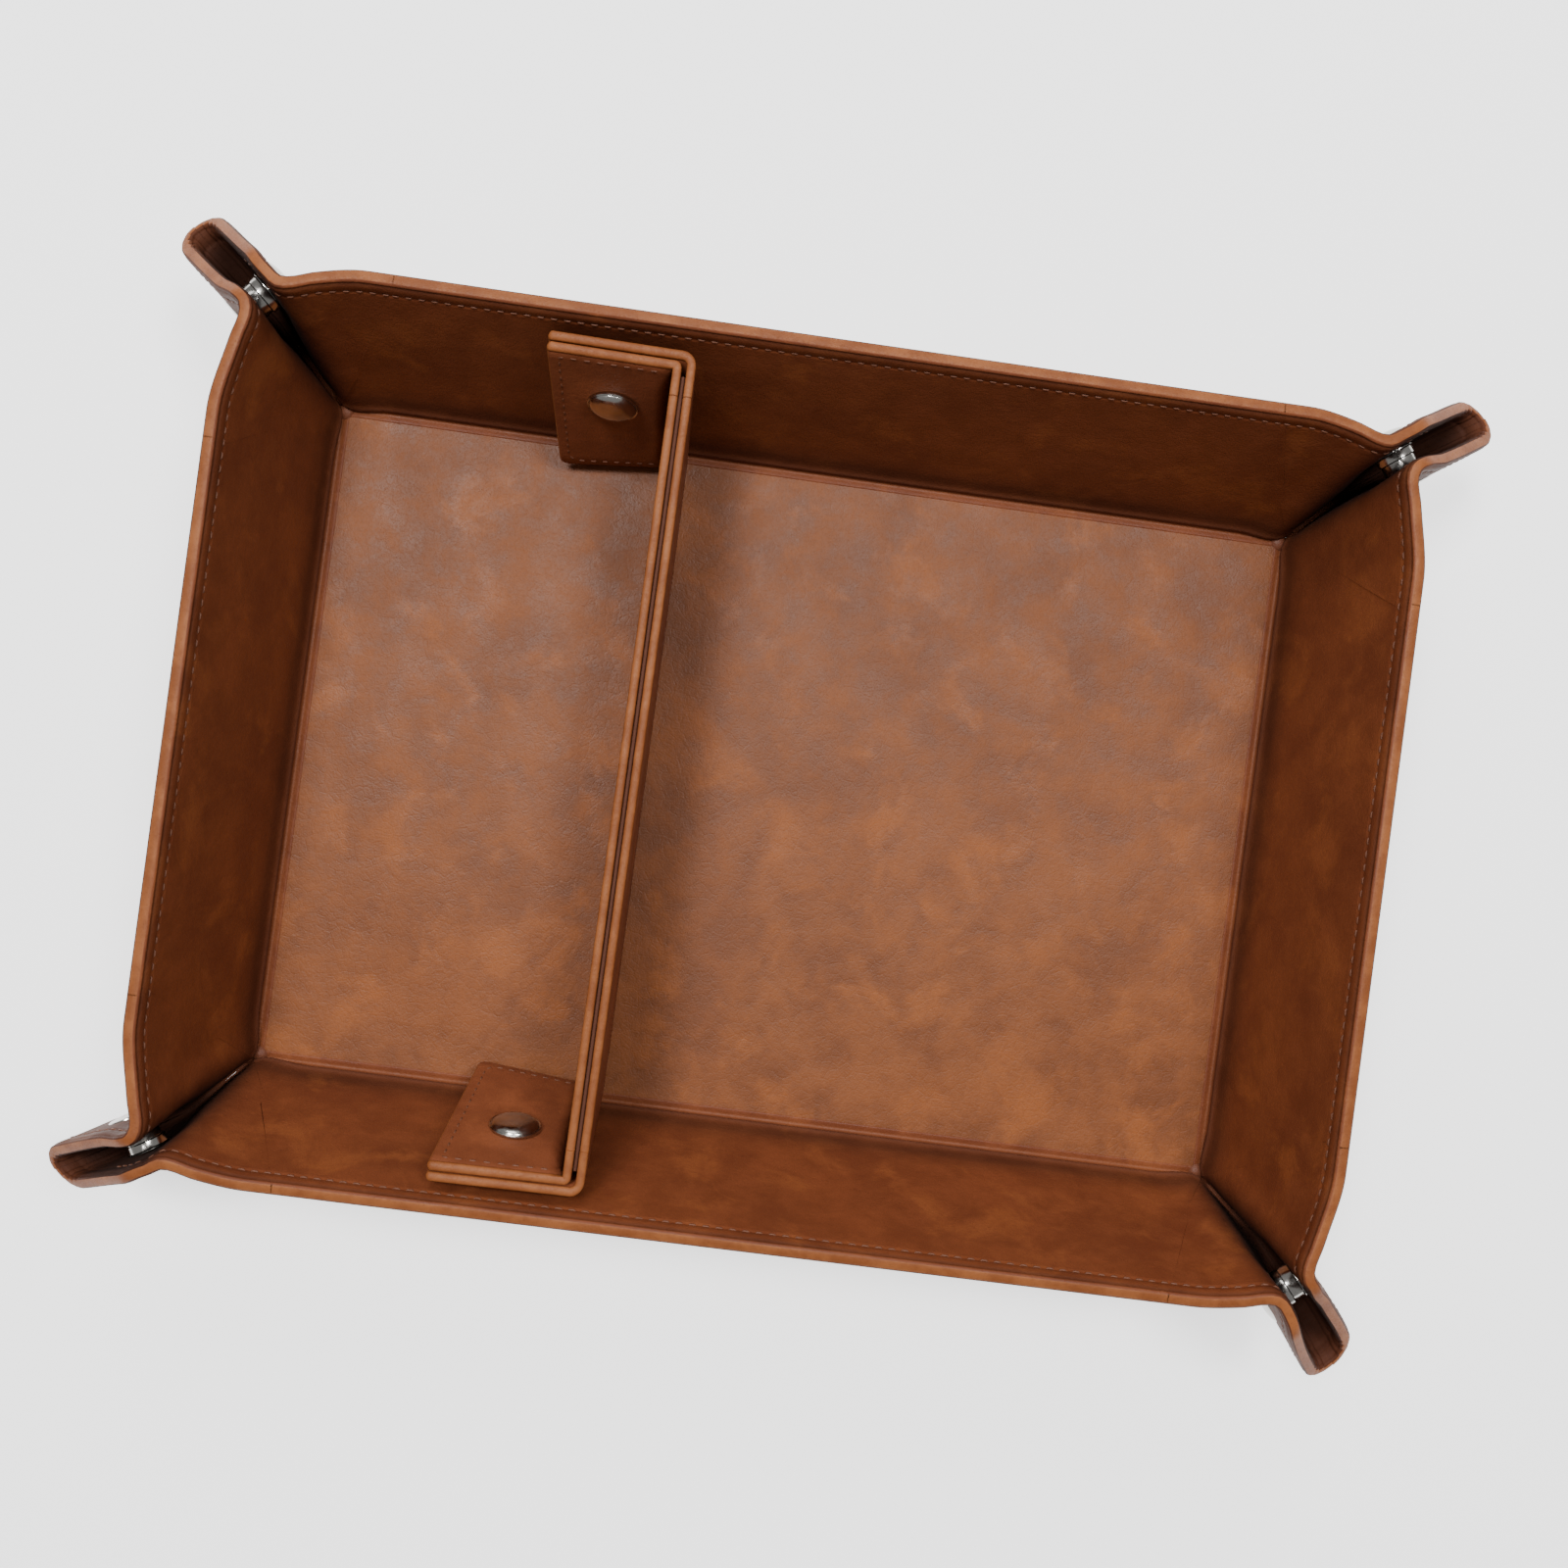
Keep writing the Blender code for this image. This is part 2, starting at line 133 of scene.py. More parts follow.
# leather colours, dark to light
# the floor's tones are the walls' leather made lighter: painted sheen of the overhead light on the upturned floor
FLOOR_TONES_WITH_PAINTED_SHEEN = ((0.14, 0.044, 0.014), (0.22, 0.069, 0.02), (0.27, 0.082, 0.02))
WALL_TONES = ((0.13, 0.034, 0.013), (0.185, 0.051, 0.018), (0.23, 0.068, 0.022))
OUTER_TONES = ((0.06, 0.016, 0.006), (0.085, 0.024, 0.009), (0.11, 0.033, 0.012))
PLY_TONES = ((0.15, 0.042, 0.017), (0.215, 0.062, 0.025), (0.26, 0.078, 0.03))

# the camera: nearly straight down over the middle of the tray, turned a little about the line of sight
CAMERA_LENS = 36.7
CAMERA_PLACE = (-0.0123, 0.001, 0.3722)
CAMERA_TURN = (0.0, math.radians(-2.18), math.radians(7.58))


def smooth(t):
    """Eases from 0 to 1 as t does."""
    t = np.clip(t, 0, 1)
    return t * t * (3 - 2 * t)


def unit(v):
    v = np.array(v, float)
    return v / np.linalg.norm(v)


def pinch_line(wall, end):
    """Direction of the line about which a wall's end is pinched, upwards."""
    axis = unit(JOINTS[f"fold_flap_{wall}_at_{end}"]["axis"])
    return axis * np.sign(axis[2])


def read_wall(name, ends):
    """A wall's crease, plane and two pinched ends, all from the frame's joints."""
    joint = JOINTS[f"fold_wall_{name}"]
    pos = np.array(joint["pos_m"], float)
    wall = SimpleNamespace(name=name, pos=pos, along=-unit(joint["axis"]), out=unit((pos[0], pos[1], 0)))
    wall.half = HALF_LENGTH if abs(wall.along[0]) > 0.5 else HALF_WIDTH
    long_rise = math.pi / 2 - math.atan2(*pinch_line("back", "left")[1:])
    wall.ends = []
    for sign, end in zip((-1, 1), ends):
        d = pinch_line(name, end)
        lean = math.atan2(d @ wall.out, d[2])
        wall.rise = math.pi / 2 - lean
        wall.up = wall.out * math.sin(lean) + UP * math.cos(lean)
        wall.normal = UP * math.sin(lean) - wall.out * math.cos(lean)
        slope = math.asin(abs(d @ wall.along))
        turn = RATIOS[f"fold_flap_{name}_at_{end}"] * long_rise
        across = sign * wall.along * math.cos(slope) - wall.up * math.sin(slope)
        wall.ends.append(
            SimpleNamespace(
                name=end, sign=sign, d=d, slope=slope, turn=turn, across=across,
                pos=np.array(JOINTS[f"fold_flap_{name}_at_{end}"]["pos_m"], float),
                floor_corner=pos + wall.along * sign * wall.half,
                ear=across * math.cos(turn) - wall.normal * math.sin(turn),
                inward=wall.normal * math.cos(turn) + across * math.sin(turn),
                flare=EARS[tuple(np.sign(pos + wall.along * sign * wall.half)[:2].astype(int))][2],
            )
        )
    return wall


WALLS = {
    name: read_wall(name, ends)
    for name, ends in (
        ("back", ("left", "right")),
        ("left", ("front", "back")),
        ("front", ("right", "left")),
        ("right", ("back", "front")),
    )
}
FLAP_ANGLE = (math.pi / 2 - WALLS["back"].ends[0].slope - WALLS["left"].ends[0].slope) / 2


def warp(p):
    """Bows the walls out between the corners, dips the rims at the necks and swings each ear."""
    p = np.array(p, float)
    x, y = p[:, 0].copy(), p[:, 1].copy()
    h = np.clip((p[:, 2] - SHEET) / RIM_HEIGHT, 0, 1.1)
    beyond = (np.abs(x) - HALF_LENGTH, np.abs(y) - HALF_WIDTH)
    for axis, value, low, high in ((0, x, "left", "right"), (1, y, "front", "back")):
        middle = 1 - smooth((beyond[1 - axis] + STRAIGHT_TO) / (STRAIGHT_TO + 7 * MM))
        near = smooth((beyond[axis] + 45 * MM) / (45 * MM))
        bow = np.where(value < 0, RIM_BOW[low], RIM_BOW[high])
        p[:, axis] += np.sign(value) * h * near * (bow * middle - NECK_DIP[axis] * (1 - middle))
    for (sx, sy), (ex, ey, _) in EARS.items():
        reach = sx * x - HALF_LENGTH + sy * y - HALF_WIDTH
        g = np.clip((reach - NECK_REACH) / (TIP_REACH - NECK_REACH), 0, 1.2)
        g = np.where((sx * x > 0) & (sy * y > 0), g, 0)
        p[:, 0] += sx * ex * g
        p[:, 1] += sy * ey * g
        inside = (sx * x > HALF_LENGTH) & (sy * y > HALF_WIDTH)
        tuck = EAR_TUCK * (1 - h) * smooth((reach - NECK_REACH * h) / (30 * MM)) * inside
        side = np.array((1, 1) if sx * sy < 0 else (-sx, sx)) / math.sqrt(2)
        p[:, :2] += tuck[:, None] * side
    return p


def puckers(t, reach):
    """Wrinkles of the liner inside an ear, at distance t from its fold."""
    wave = np.sin(t / (1.9 * MM) * 2 * math.pi + np.sin(reach / (9 * MM)) + 1)
    return wave * smooth((reach - 20 * MM) / (18 * MM)) * smooth(t / (1 * MM)) * (1 - smooth(t / (11 * MM)))


def fold_end(wall, end, p, x, s, q):
    """Folds the part of a wall's sheet beyond its pinch line into its half of the corner's ear."""
    u = x * end.sign - wall.half
    reach = np.hypot(u, s)
    rel = p - end.pos
    a, n, d = rel @ end.across, rel @ wall.normal, rel @ end.d
    half = np.minimum(PINCH_HALF, 1.5 * MM + 0.4 * reach)
    b = end.turn * smooth((a + half) / (2 * half)) * smooth(s / (4 * MM))
    cos, sin = np.cos(b)[:, None], np.sin(b)[:, None]
    ear = end.across * cos - wall.normal * sin
    inward = wall.normal * cos + end.across * sin
    p = end.pos + d[:, None] * end.d + a[:, None] * ear + n[:, None] * inward
    phi = end.slope + FLAP_ANGLE
    t = s * math.sin(phi) - u * math.cos(phi)
    room = 0.6 * reach * math.sin(FLAP_ANGLE)
    depth = np.clip(q / SHEET, 0, 1)
    zone = np.minimum(FOLD_LINER, room) * (1 - depth) + np.minimum(FOLD_OUTER, room) * depth + 1e-6
    k = np.where(s > 0, np.clip(t / zone, 0, 1), 1.0)
    y = -(p - end.floor_corner) @ end.inward
    into = smooth((a + PINCH_HALF) / (1.6 * PINCH_HALF))
    shut = 1 + into * (SQUEEZE + (1 - SQUEEZE) * smooth((reach - 6 * MM) / (22 * MM)) - 1)
    flare = end.flare * smooth((a - 3 * MM) / (17 * MM)) + SNAP_ROOM * smooth((a + 2 * MM) / (5 * MM))
    flare = flare * smooth((reach - 24 * MM) / (12 * MM))
    closed = (np.maximum(y, 0) * shut + flare) * np.sqrt(1 - (1 - k) ** 2) + 0.015 * MM * into
    closed += PUCKER * (1 - depth) * puckers(t, reach)
    p = p + np.where(s > 0, y - closed, 0)[:, None] * end.inward
    back = end.d * math.sin(FLAP_ANGLE) - end.ear * math.cos(FLAP_ANGLE)
    pull = (1 - depth) * np.minimum(FOLD_DEPTH, 0.5 * zone) * (1 - k) ** 2
    return p + pull[:, None] * back


def folded(wall, x, s, q):
    """Rest positions of flat-sheet points: x along the crease, s up the wall from it, q below the liner."""
    x, s, q = (np.asarray(v, float).ravel() for v in (x, s, q))
    a = wall.rise * smooth((s + CREASE_HALF) / (2 * CREASE_HALF))
    y = s * np.cos(a) + q * np.sin(a)
    z = np.maximum(s * np.sin(a) - q * np.cos(a), -SHEET)
    p = wall.pos + x[:, None] * wall.along + y[:, None] * wall.out + z[:, None] * UP
    for end in wall.ends:
        mine = (x * end.sign > wall.half - FOLD_ZONE) & (s > 0)
        if mine.any():
            p[mine] = fold_end(wall, end, p[mine], x[mine], s[mine], q[mine])
    return warp(p)


# ---------------------------------------------------------------- meshes


def link(name, mesh, materials):
    obj = bpy.data.objects.new(name, mesh)
    bpy.context.scene.collection.objects.link(obj)
    for material in materials:
        mesh.materials.append(material)
    return obj


def store_vectors(mesh, name, values):
    """Keeps a vector for every vertex, where the materials read it."""
    layer = mesh.attributes.new(name, "FLOAT_VECTOR", "POINT")
    layer.data.foreach_set("vector", np.asarray(values, np.float32).ravel())


def smooth_mesh(mesh, is_sharp=None):
    """Turns the faces outwards and shades them smooth, apart from the edges that is_sharp picks."""
    bm = bmesh.new()
    bm.from_mesh(mesh)
    bmesh.ops.recalc_face_normals(bm, faces=bm.faces)
    for face in bm.faces:
        face.smooth = True
    for edge in bm.edges if is_sharp else ():
        if is_sharp(edge):
            edge.smooth = False
    bm.to_mesh(mesh)
    bm.free()


def tube_mesh(name, points, flat, wear, kinds):
    """A closed mesh from points[column][row]: every column is a loop, and both ends are capped.

    flat holds each point's place on the flat sheet, the next array its masks of painted shade, crease ridges and
    crease line, kinds each row's material."""
    columns, rows = points.shape[:2]
    index = np.arange(columns * rows).reshape(columns, rows)
    nxt = np.roll(index, -1, axis=1)
    quads = np.stack((index[:-1], index[1:], nxt[1:], nxt[:-1]), axis=-1).reshape(-1, 4)
    faces = quads.tolist() + [index[0].tolist(), index[-1][::-1].tolist()]
    mesh = bpy.data.meshes.new(name)
    mesh.from_pydata(points.reshape(-1, 3).tolist(), [], faces)
    for k in range(len(quads)):
        mesh.polygons[k].material_index = int(kinds[k % rows])
    store_vectors(mesh, "flat", flat)
    store_vectors(mesh, "wear", wear)
    smooth_mesh(mesh, lambda edge: any(face.index >= len(quads) for face in edge.link_faces))
    return mesh


def edge_profile(thickness):
    """The stitched, painted edge of a sheet as (distance from the edge, depth, kind), liner to outer side."""
    half = [
        (EDGE_BAND, 0, LINER_SIDE),
        (SEAM + 0.5 * MM, 0, LINER_SIDE),
        (SEAM + 0.2 * MM, 0.18 * MM, LINER_SIDE),
        (SEAM - 0.2 * MM, 0.18 * MM, LINER_SIDE),
        (SEAM - 0.5 * MM, 0, LINER_SIDE),
        (2.0 * MM, -0.05 * MM, LINER_SIDE),
        (1.1 * MM, 0.02 * MM, LINER_SIDE),
        (0.85 * MM, EDGE_GROOVE, LINER_SIDE),
        (0.65 * MM, 0.16 * MM, LINER_SIDE),
        (0.35 * MM, 0.22 * MM, LINER_SIDE),
        (0.12 * MM, 0.55 * MM, EDGE),
        (0, 0.95 * MM, EDGE),
    ]
    other = [(e, thickness - q, EDGE if e < 0.05 * MM else OUTER_SIDE) for e, q, _ in reversed(half)]
    return half + other


def crease_relief(s):
    """Liner relief across a crease: a pressed line on the floor's side and a rolled ridge on the wall's."""
    return -0.3 * MM * np.exp(-(((s - 1.7 * MM) / (1.0 * MM)) ** 2)) + 0.13 * MM * np.exp(
        -(((s + 0.3 * MM) / (0.4 * MM)) ** 2)
    )


def sheet_shade_and_crease_masks(wall, x, s, q):
    """Masks on the flat sheet: (painted shade in the folds, pinched pockets, wrinkle troughs and along the walls'
    foot and rim, light ridges, crease line).
    """
    liner = q < 0.5 * SHEET
    u = np.abs(x) - wall.half
    phi = wall.ends[0].slope + FLAP_ANGLE
    t = s * math.sin(phi) - u * math.cos(phi)
    reach = np.hypot(np.maximum(u, -20 * MM), s)
    ridge = np.exp(-(((s - 1.5 * MM) / (1.1 * MM)) ** 2))
    fold = np.exp(-((t / (2.2 * MM)) ** 2)) * (s > 0) * (1 - smooth((reach - 3 * MM) / (15 * MM)))
    # painted shade: a dark band up each wall's foot, a dark line under the rim, darkened pinched pockets (lighter
    # towards the ears' tips) and darkened wrinkle troughs, cleared along the folds
    base = np.exp(-(((s - 5.0 * MM) / (3.5 * MM)) ** 2)) * 0.55
    a = u * math.cos(wall.ends[0].slope) - s * math.sin(wall.ends[0].slope)
    pinch = smooth((a + 9 * MM) / (10 * MM)) * smooth(s / (8 * MM))
    tip = smooth((reach - 38 * MM) / (12 * MM)) * smooth((a - 12 * MM) / (12 * MM))
    wrinkle_shade = 0.75 * np.clip(-puckers(t, reach), 0, 1) * (s > 0)
    rim = 0.5 * np.exp(-(((s - WALL_WIDTH + 1.0 * MM) / (0.5 * MM)) ** 2))
    dark = np.maximum(np.maximum(base, rim), np.maximum(wrinkle_shade, pinch * (1 - 0.6 * tip)))
    dark = np.clip(dark, 0, 1) * (1 - fold)
    line = np.exp(-(((s + 0.35 * MM) / (0.45 * MM)) ** 2))
    return np.stack((dark * liner, np.maximum(ridge, fold) * liner, line * liner), axis=-1)


def flat_place(wall, x, s, q):
    """A point's place on the unfolded sheet, in metres, with the outer side lifted clear of the liner's."""
    place = wall.pos + x[..., None] * wall.along + s[..., None] * wall.out
    place[..., 2] = q
    return place


def sheet_piece(name, wall, x, s, q, kinds, materials):
    points = folded(wall, x, s, q).reshape(*x.shape, 3)
    mesh = tube_mesh(name, points, flat_place(wall, x, s, q), sheet_shade_and_crease_masks(wall, x, s, q), kinds)
    return link(name, mesh, materials)


def wall_rows():
    """One column of a wall piece as (s, q, kind): up the liner, over the edge and down the outer side."""
    crease = [-FLOOR_MARGIN + 0.4 * MM * k for k in range(13)]
    plain = [3.4 * MM, 4.4 * MM, 6 * MM] + [8 * MM + 4.3 * MM * k for k in range(10)]
    inner = [(s, crease_relief(s), LINER_SIDE) for s in crease + plain]
    edge = [(WALL_WIDTH - e, q, kind) for e, q, kind in edge_profile(SHEET)]
    outer = [(s, SHEET, OUTER_SIDE) for s in reversed(crease + plain)]
    return inner + edge + outer


def spread(count, sharpen=0.35):
    """Fractions from -1 to 1, closer together towards both ends."""
    t = np.linspace(-1, 1, count)
    return t * (1 - sharpen) + np.sin(t * math.pi / 2) * sharpen


def wall_columns(wall):
    return spread(65 if wall.half > 0.1 else 45)


def build_wall(wall, materials):
    rows = np.array([(s, q) for s, q, _ in wall_rows()])
    kinds = [kind for _, _, kind in wall_rows()]
    f = wall_columns(wall)
    s = np.tile(rows[:, 0], (len(f), 1))
    q = np.tile(rows[:, 1], (len(f), 1))
    reach = np.where(s < 0, wall.half + s, wall.half - s * math.tan(WEDGE))
    x = f[:, None] * reach
    ripple = 0.18 * MM * np.sin(x * 61 + wall.half * 700) * np.sin(s * 90 + 1.3)
    q = q + ripple * smooth(s / (12 * MM)) * smooth((WALL_WIDTH - s) / (8 * MM))
    obj = sheet_piece(f"sheet_wall_{wall.name}", wall, x, s, q, kinds, materials)
    layers = ("liner", "board", "outer")
    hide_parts(*[f"wall_{wall.name}_{layer}" for layer in layers])
    blend_crease(obj)


def blend_crease(obj):
    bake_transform(obj)


def flap_border(end):
    """The free border of a corner piece as (u, v, inset direction), from the wall to the fold."""
    phi = end.slope + FLAP_ANGLE
    fold = np.array((math.sin(phi), math.cos(phi)))
    tip = fold * CORNER_CUT / (fold[0] + fold[1])
    corner = np.array((CORNER_CUT - WALL_WIDTH, WALL_WIDTH))
    back = CORNER_ROUND * math.tan(math.pi / 8)
    start = np.array((-WALL_WIDTH * math.tan(WEDGE) - 0.3 * MM, WALL_WIDTH))
    border = []
    for f in np.linspace(0, 1, 18):
        border.append((*(start + f * (corner - start - (back, 0))), 0.0, -1.0))
    centre = corner - (back, CORNER_ROUND)
    for k in range(1, 6):
        angle = math.pi / 2 - math.pi / 4 * k / 6
        arm = np.array((math.cos(angle), math.sin(angle)))
        border.append((*(centre + arm * CORNER_ROUND), *(-arm)))
    cut = np.array((1, -1)) / math.sqrt(2)
    first = corner + cut * back
    slant = np.array((-1, -1)) / math.sqrt(2)
    for f in 1 - (1 - np.linspace(0, 1, 40)) ** 1.9:
        inset = unit(slant * (1 - f) - fold * f)
        border.append((*(first + f * (tip - first)), *inset))
    return np.array(border)


def build_flap(wall, end, materials):
    border = flap_border(end)
    profile = edge_profile(SHEET)
    depth_rows = np.concatenate((np.linspace(0.004, 0.2, 6)[:-1], np.linspace(0.2, 1, 33)[:-1]))
    start = border[:, :2] + border[:, 2:] * EDGE_BAND
    inner = start[:, None, :] * depth_rows[None, :, None]
    edge = border[:, None, :2] + border[:, None, 2:] * np.array([e for e, _, _ in profile])[None, :, None]
    uv = np.concatenate((inner, edge, inner[:, ::-1]), axis=1)
    q = np.concatenate((0 * depth_rows, [q for _, q, _ in profile], 0 * depth_rows + SHEET))
    kinds = [LINER_SIDE] * len(depth_rows) + [kind for _, _, kind in profile] + [OUTER_SIDE] * len(depth_rows)
    s = uv[..., 1]
    q = np.tile(q, (len(border), 1))
    q = q + np.where(q < SHEET / 2, crease_relief(s), 0) * (s < 6 * MM)
    x = end.sign * (wall.half + uv[..., 0])
    obj = sheet_piece(f"sheet_{wall.name}_{end.name}_ear", wall, x, s, q, kinds, materials)
    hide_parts(f"{wall.name}_wall_{end.name}_flap")
    blend_pinch(obj, end)


def blend_pinch(obj, end):
    centre = end.pos + end.d * 28 * MM
    centre = warp(centre[None])[0]
    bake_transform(obj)


def build_floor(materials):
    """The floor panel: a grid whose border points meet the wall pieces'."""
    fx = wall_columns(WALLS["back"]) * (HALF_LENGTH - FLOOR_MARGIN)
    fy = wall_columns(WALLS["left"]) * (HALF_WIDTH - FLOOR_MARGIN)
    x, y = np.meshgrid(fx, fy, indexing="ij")
    border = np.minimum(HALF_LENGTH - FLOOR_MARGIN - np.abs(x), HALF_WIDTH - FLOOR_MARGIN - np.abs(y))
    wave = np.sin(x * 47 + 1.1) * np.sin(y * 58 + 0.4) + 0.5 * np.sin(x * 113 + y * 71)
    z = SHEET - crease_relief(-FLOOR_MARGIN) + 0.12 * MM * wave * smooth(border / (12 * MM))
    top = np.stack((x, y, z), axis=-1).reshape(-1, 3)
    bottom = np.stack((x, y, 0 * z), axis=-1).reshape(-1, 3)
    index = np.arange(x.size).reshape(x.shape)
    quads = np.stack((index[:-1, :-1], index[1:, :-1], index[1:, 1:], index[:-1, 1:]), axis=-1).reshape(-1, 4)
    ring = list(index[0, :-1]) + list(index[:-1, -1]) + list(index[-1, :0:-1]) + list(index[:0:-1, 0])
    faces = quads.tolist() + (quads[:, ::-1] + x.size).tolist()
    for a, b in zip(ring, ring[1:] + ring[:1]):
        faces.append([int(a), int(b), int(b) + x.size, int(a) + x.size])
    mesh = bpy.data.meshes.new("sheet_floor")
    mesh.from_pydata(np.concatenate((top, bottom)).tolist(), [], faces)
    for k in range(len(quads), len(faces)):
        mesh.polygons[k].material_index = OUTER_SIDE
    place = np.concatenate((top, bottom))
    place[:, 2] = np.repeat((0, SHEET), len(top))
    store_vectors(mesh, "flat", place)
    store_vectors(mesh, "wear", np.zeros_like(place))
    smooth_mesh(mesh, lambda edge: len({face.material_index for face in edge.link_faces}) > 1)
    obj = link("sheet_floor", mesh, materials)
    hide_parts("floor_liner", "floor_board", "floor_outer")
    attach(obj, "floor")


def build_corner_puckers(material):
    """The small raised pucker where two creases and a corner's fold run together."""
    for sx, sy in EARS:
        rings, count = 7, 20
        centre = np.array((sx * (HALF_LENGTH - 0.9 * MM), sy * (HALF_WIDTH - 0.9 * MM), 1.6 * MM))
        angles = np.linspace(0, 2 * math.pi, count, endpoint=False)
        points = []
        for k in range(rings + 1):
            rise = math.pi / 2 * k / rings
            r = 2.2 * MM * math.cos(rise) + 0.02 * MM
            z = 2.1 * MM * math.sin(rise) ** 0.8
            points.append([(r * math.cos(a), r * math.sin(a), z) for a in angles])
        points = np.array(points) + centre
        wear = np.zeros_like(points)
        wear[..., 1] = 0.8
        name = f"corner_pucker_{sx}_{sy}".replace("-", "m")
        obj = link(name, tube_mesh(name, points, points, wear, [LINER_SIDE] * count), [material])
        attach(obj, "floor")


# ---------------------------------------------------------------- stitching


def stitch_mesh(name, place, run, surface):
    """Stitches along a run of flat (a, b) points. place maps (a, b, q) to space; surface gives the depth q
    of the stitches' middles and the direction out of the leather."""
    depth, outward = surface
    ring = [(math.cos(k * math.pi / 3), math.sin(k * math.pi / 3)) for k in range(6)]
    along = ((-0.5, 0.25), (-0.44, 0.75), (-0.25, 1.0), (0.25, 1.0), (0.44, 0.75), (0.5, 0.25))
    run = np.array(run, float)
    travel = np.concatenate(((0,), np.cumsum(np.linalg.norm(np.diff(run, axis=0), axis=1))))
    count = int(travel[-1] / STITCH_PITCH)
    spare = (travel[-1] - count * STITCH_PITCH) / 2

    def at(distance):
        return np.array([np.interp(distance, travel, run[:, i]) for i in (0, 1)])

    points, faces = [], []
    for k in range(count):
        base = len(points)
        for offset, girth in along:
            distance = spare + (k + 0.5) * STITCH_PITCH + offset * STITCH_LENGTH
            here = at(distance)
            direction = unit(at(distance + 1e-5) - here + (1e-9, 0))
            side = np.array((-direction[1], direction[0]))
            sink = 0.3 * MM * (abs(offset) > 0.4)
            for c, z in ring:
                lift = outward * (z * girth * STITCH_RADIUS - sink)
                points.append((*(here + side * c * girth * STITCH_RADIUS), depth - lift))
        for i in range(len(along) - 1):
            for j in range(6):
                a, b = base + i * 6 + j, base + i * 6 + (j + 1) % 6
                faces.append((a, b, b + 6, a + 6))
        faces.append(tuple(base + j for j in range(6)))
        faces.append(tuple(base + (len(along) - 1) * 6 + j for j in reversed(range(6))))
    points = np.array(points)
    mesh = bpy.data.meshes.new(name)
    mesh.from_pydata(place(points[:, 0], points[:, 1], points[:, 2]).tolist(), [], faces)
    smooth_mesh(mesh)
    return mesh


def stitch_sheet(wall, thread):
    line = WALL_WIDTH - SEAM
    ends = wall.half - line * math.tan(WEDGE)

    def place(a, b, q):
        return folded(wall, a, b, q)

    for side, surface, start in (
        ("liner", (STITCH_SUNK, 1), 16 * MM),
        ("outer", (SHEET - STITCH_SUNK, -1), 2 * MM),
    ):
        mesh = stitch_mesh(f"stitches_{side}_{wall.name}", place, [(-ends, line), (ends, line)], surface)
        obj = link(mesh.name, mesh, [thread])
        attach(obj, f"wall_{wall.name}")
        if side == "liner":
            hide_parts(f"rim_thread_{wall.name}")
        for end in wall.ends:
            border = flap_border(end)
            path = border[:, :2] + border[:, 2:] * SEAM
            phi = end.slope + FLAP_ANGLE
            clear = path[:, 1] * math.sin(phi) - path[:, 0] * math.cos(phi) > start
            path = [(end.sign * (wall.half + u), v) for u, v in path[clear]]
            mesh = stitch_mesh(f"stitches_{side}_{wall.name}_{end.name}", place, path, surface)
            obj = link(mesh.name, mesh, [thread])
            blend_pinch(obj, end)


# ---------------------------------------------------------------- divider


def divider_end(z):
    """Half the divider's length at height z, read from its packed skins."""
    co = np.array([v.co for v in frame["nodes"]["divider_right_skin"].data.vertices])
    low, high = co[:, 2].min(), co[:, 2].max()
    at_low = np.abs(co[co[:, 2] < low + 1 * MM, 1]).max()
    at_high = np.abs(co[co[:, 2] > high - 1 * MM, 1]).max()
    return at_low + (at_high - at_low) * (z - low) / (high - low)


def ply_profile(span, thickness):
    """Loop around a ply's section as (height, offset across the ply, kind), with rounded painted edges."""
    low, high = span
    r = thickness / 2
    rows = [low + 0.8 * MM, *(low + (high - low) * k / 10 for k in range(1, 10))]
    rows += [high - 3 * MM, high - 1.1 * MM]
    front = [(h, -r, LINER_SIDE) for h in rows]
    top = [(high - 0.9 * MM, -r + 0.16 * MM, EDGE), (high - 0.7 * MM, -r, EDGE)]
    for k in range(1, 8):
        angle = math.pi * k / 8
        top.append((high - 0.55 * MM + 0.55 * MM * math.sin(angle), -r * math.cos(angle), EDGE))
    top += [(high - 0.7 * MM, r, EDGE), (high - 0.9 * MM, r - 0.16 * MM, EDGE)]
    back = [(h, r, LINER_SIDE) for h in reversed(rows)]
    foot = [(low + 0.3 * MM, r * 0.7, EDGE), (low, 0, EDGE), (low + 0.3 * MM, -r * 0.7, EDGE)]
    return front + top + back + foot


def build_ply(name, place, lengths, span_at, thickness, materials, round_end=False):
    """A ply from columns at lengths. place maps (length, height, offset) to space."""
    columns = []
    for length in lengths:
        span = span_at(length)
        left = lengths[-1] - length
        thin = math.sqrt(max(1 - (1 - min(left / (0.8 * MM), 1)) ** 2, 0.04)) if round_end else 1
        columns.append([(length, h, c * thin) for h, c, _ in ply_profile(span, thickness)])
    columns = np.array(columns)
    kinds = [kind for _, _, kind in ply_profile(span_at(lengths[0]), thickness)]
    points = place(*(columns[..., k].ravel() for k in range(3))).reshape(columns.shape)
    flat = columns.copy()
    flat[..., 2] += 0.2
    wear = np.zeros_like(columns)
    if round_end:
        wear[..., 2] = np.clip(1 - (lengths[-1] - columns[..., 0]) / (1.0 * MM), 0, 1)
    mesh = tube_mesh(name, points, flat, wear, kinds)
    if round_end:
        per = columns.shape[1]
        for face in mesh.polygons:
            if face.index // per >= len(lengths) - 4:
                face.material_index = EDGE
    return link(name, mesh, materials)


def lean(p):
    """Leans the divider and its tabs a little to the right."""
    top = TOP_SHIFT[0] + TOP_SHIFT[1] * p[:, 1] / HALF_WIDTH
    p[:, 0] += FOOT_SHIFT + (top - FOOT_SHIFT) * np.clip((p[:, 2] - SHEET) / RIM_HEIGHT, 0, 1)
    return p


def divider_box():
    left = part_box("divider_left_skin")
    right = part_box("divider_right_skin")
    return left[0].x, right[1].x, left[0].z, left[1].z


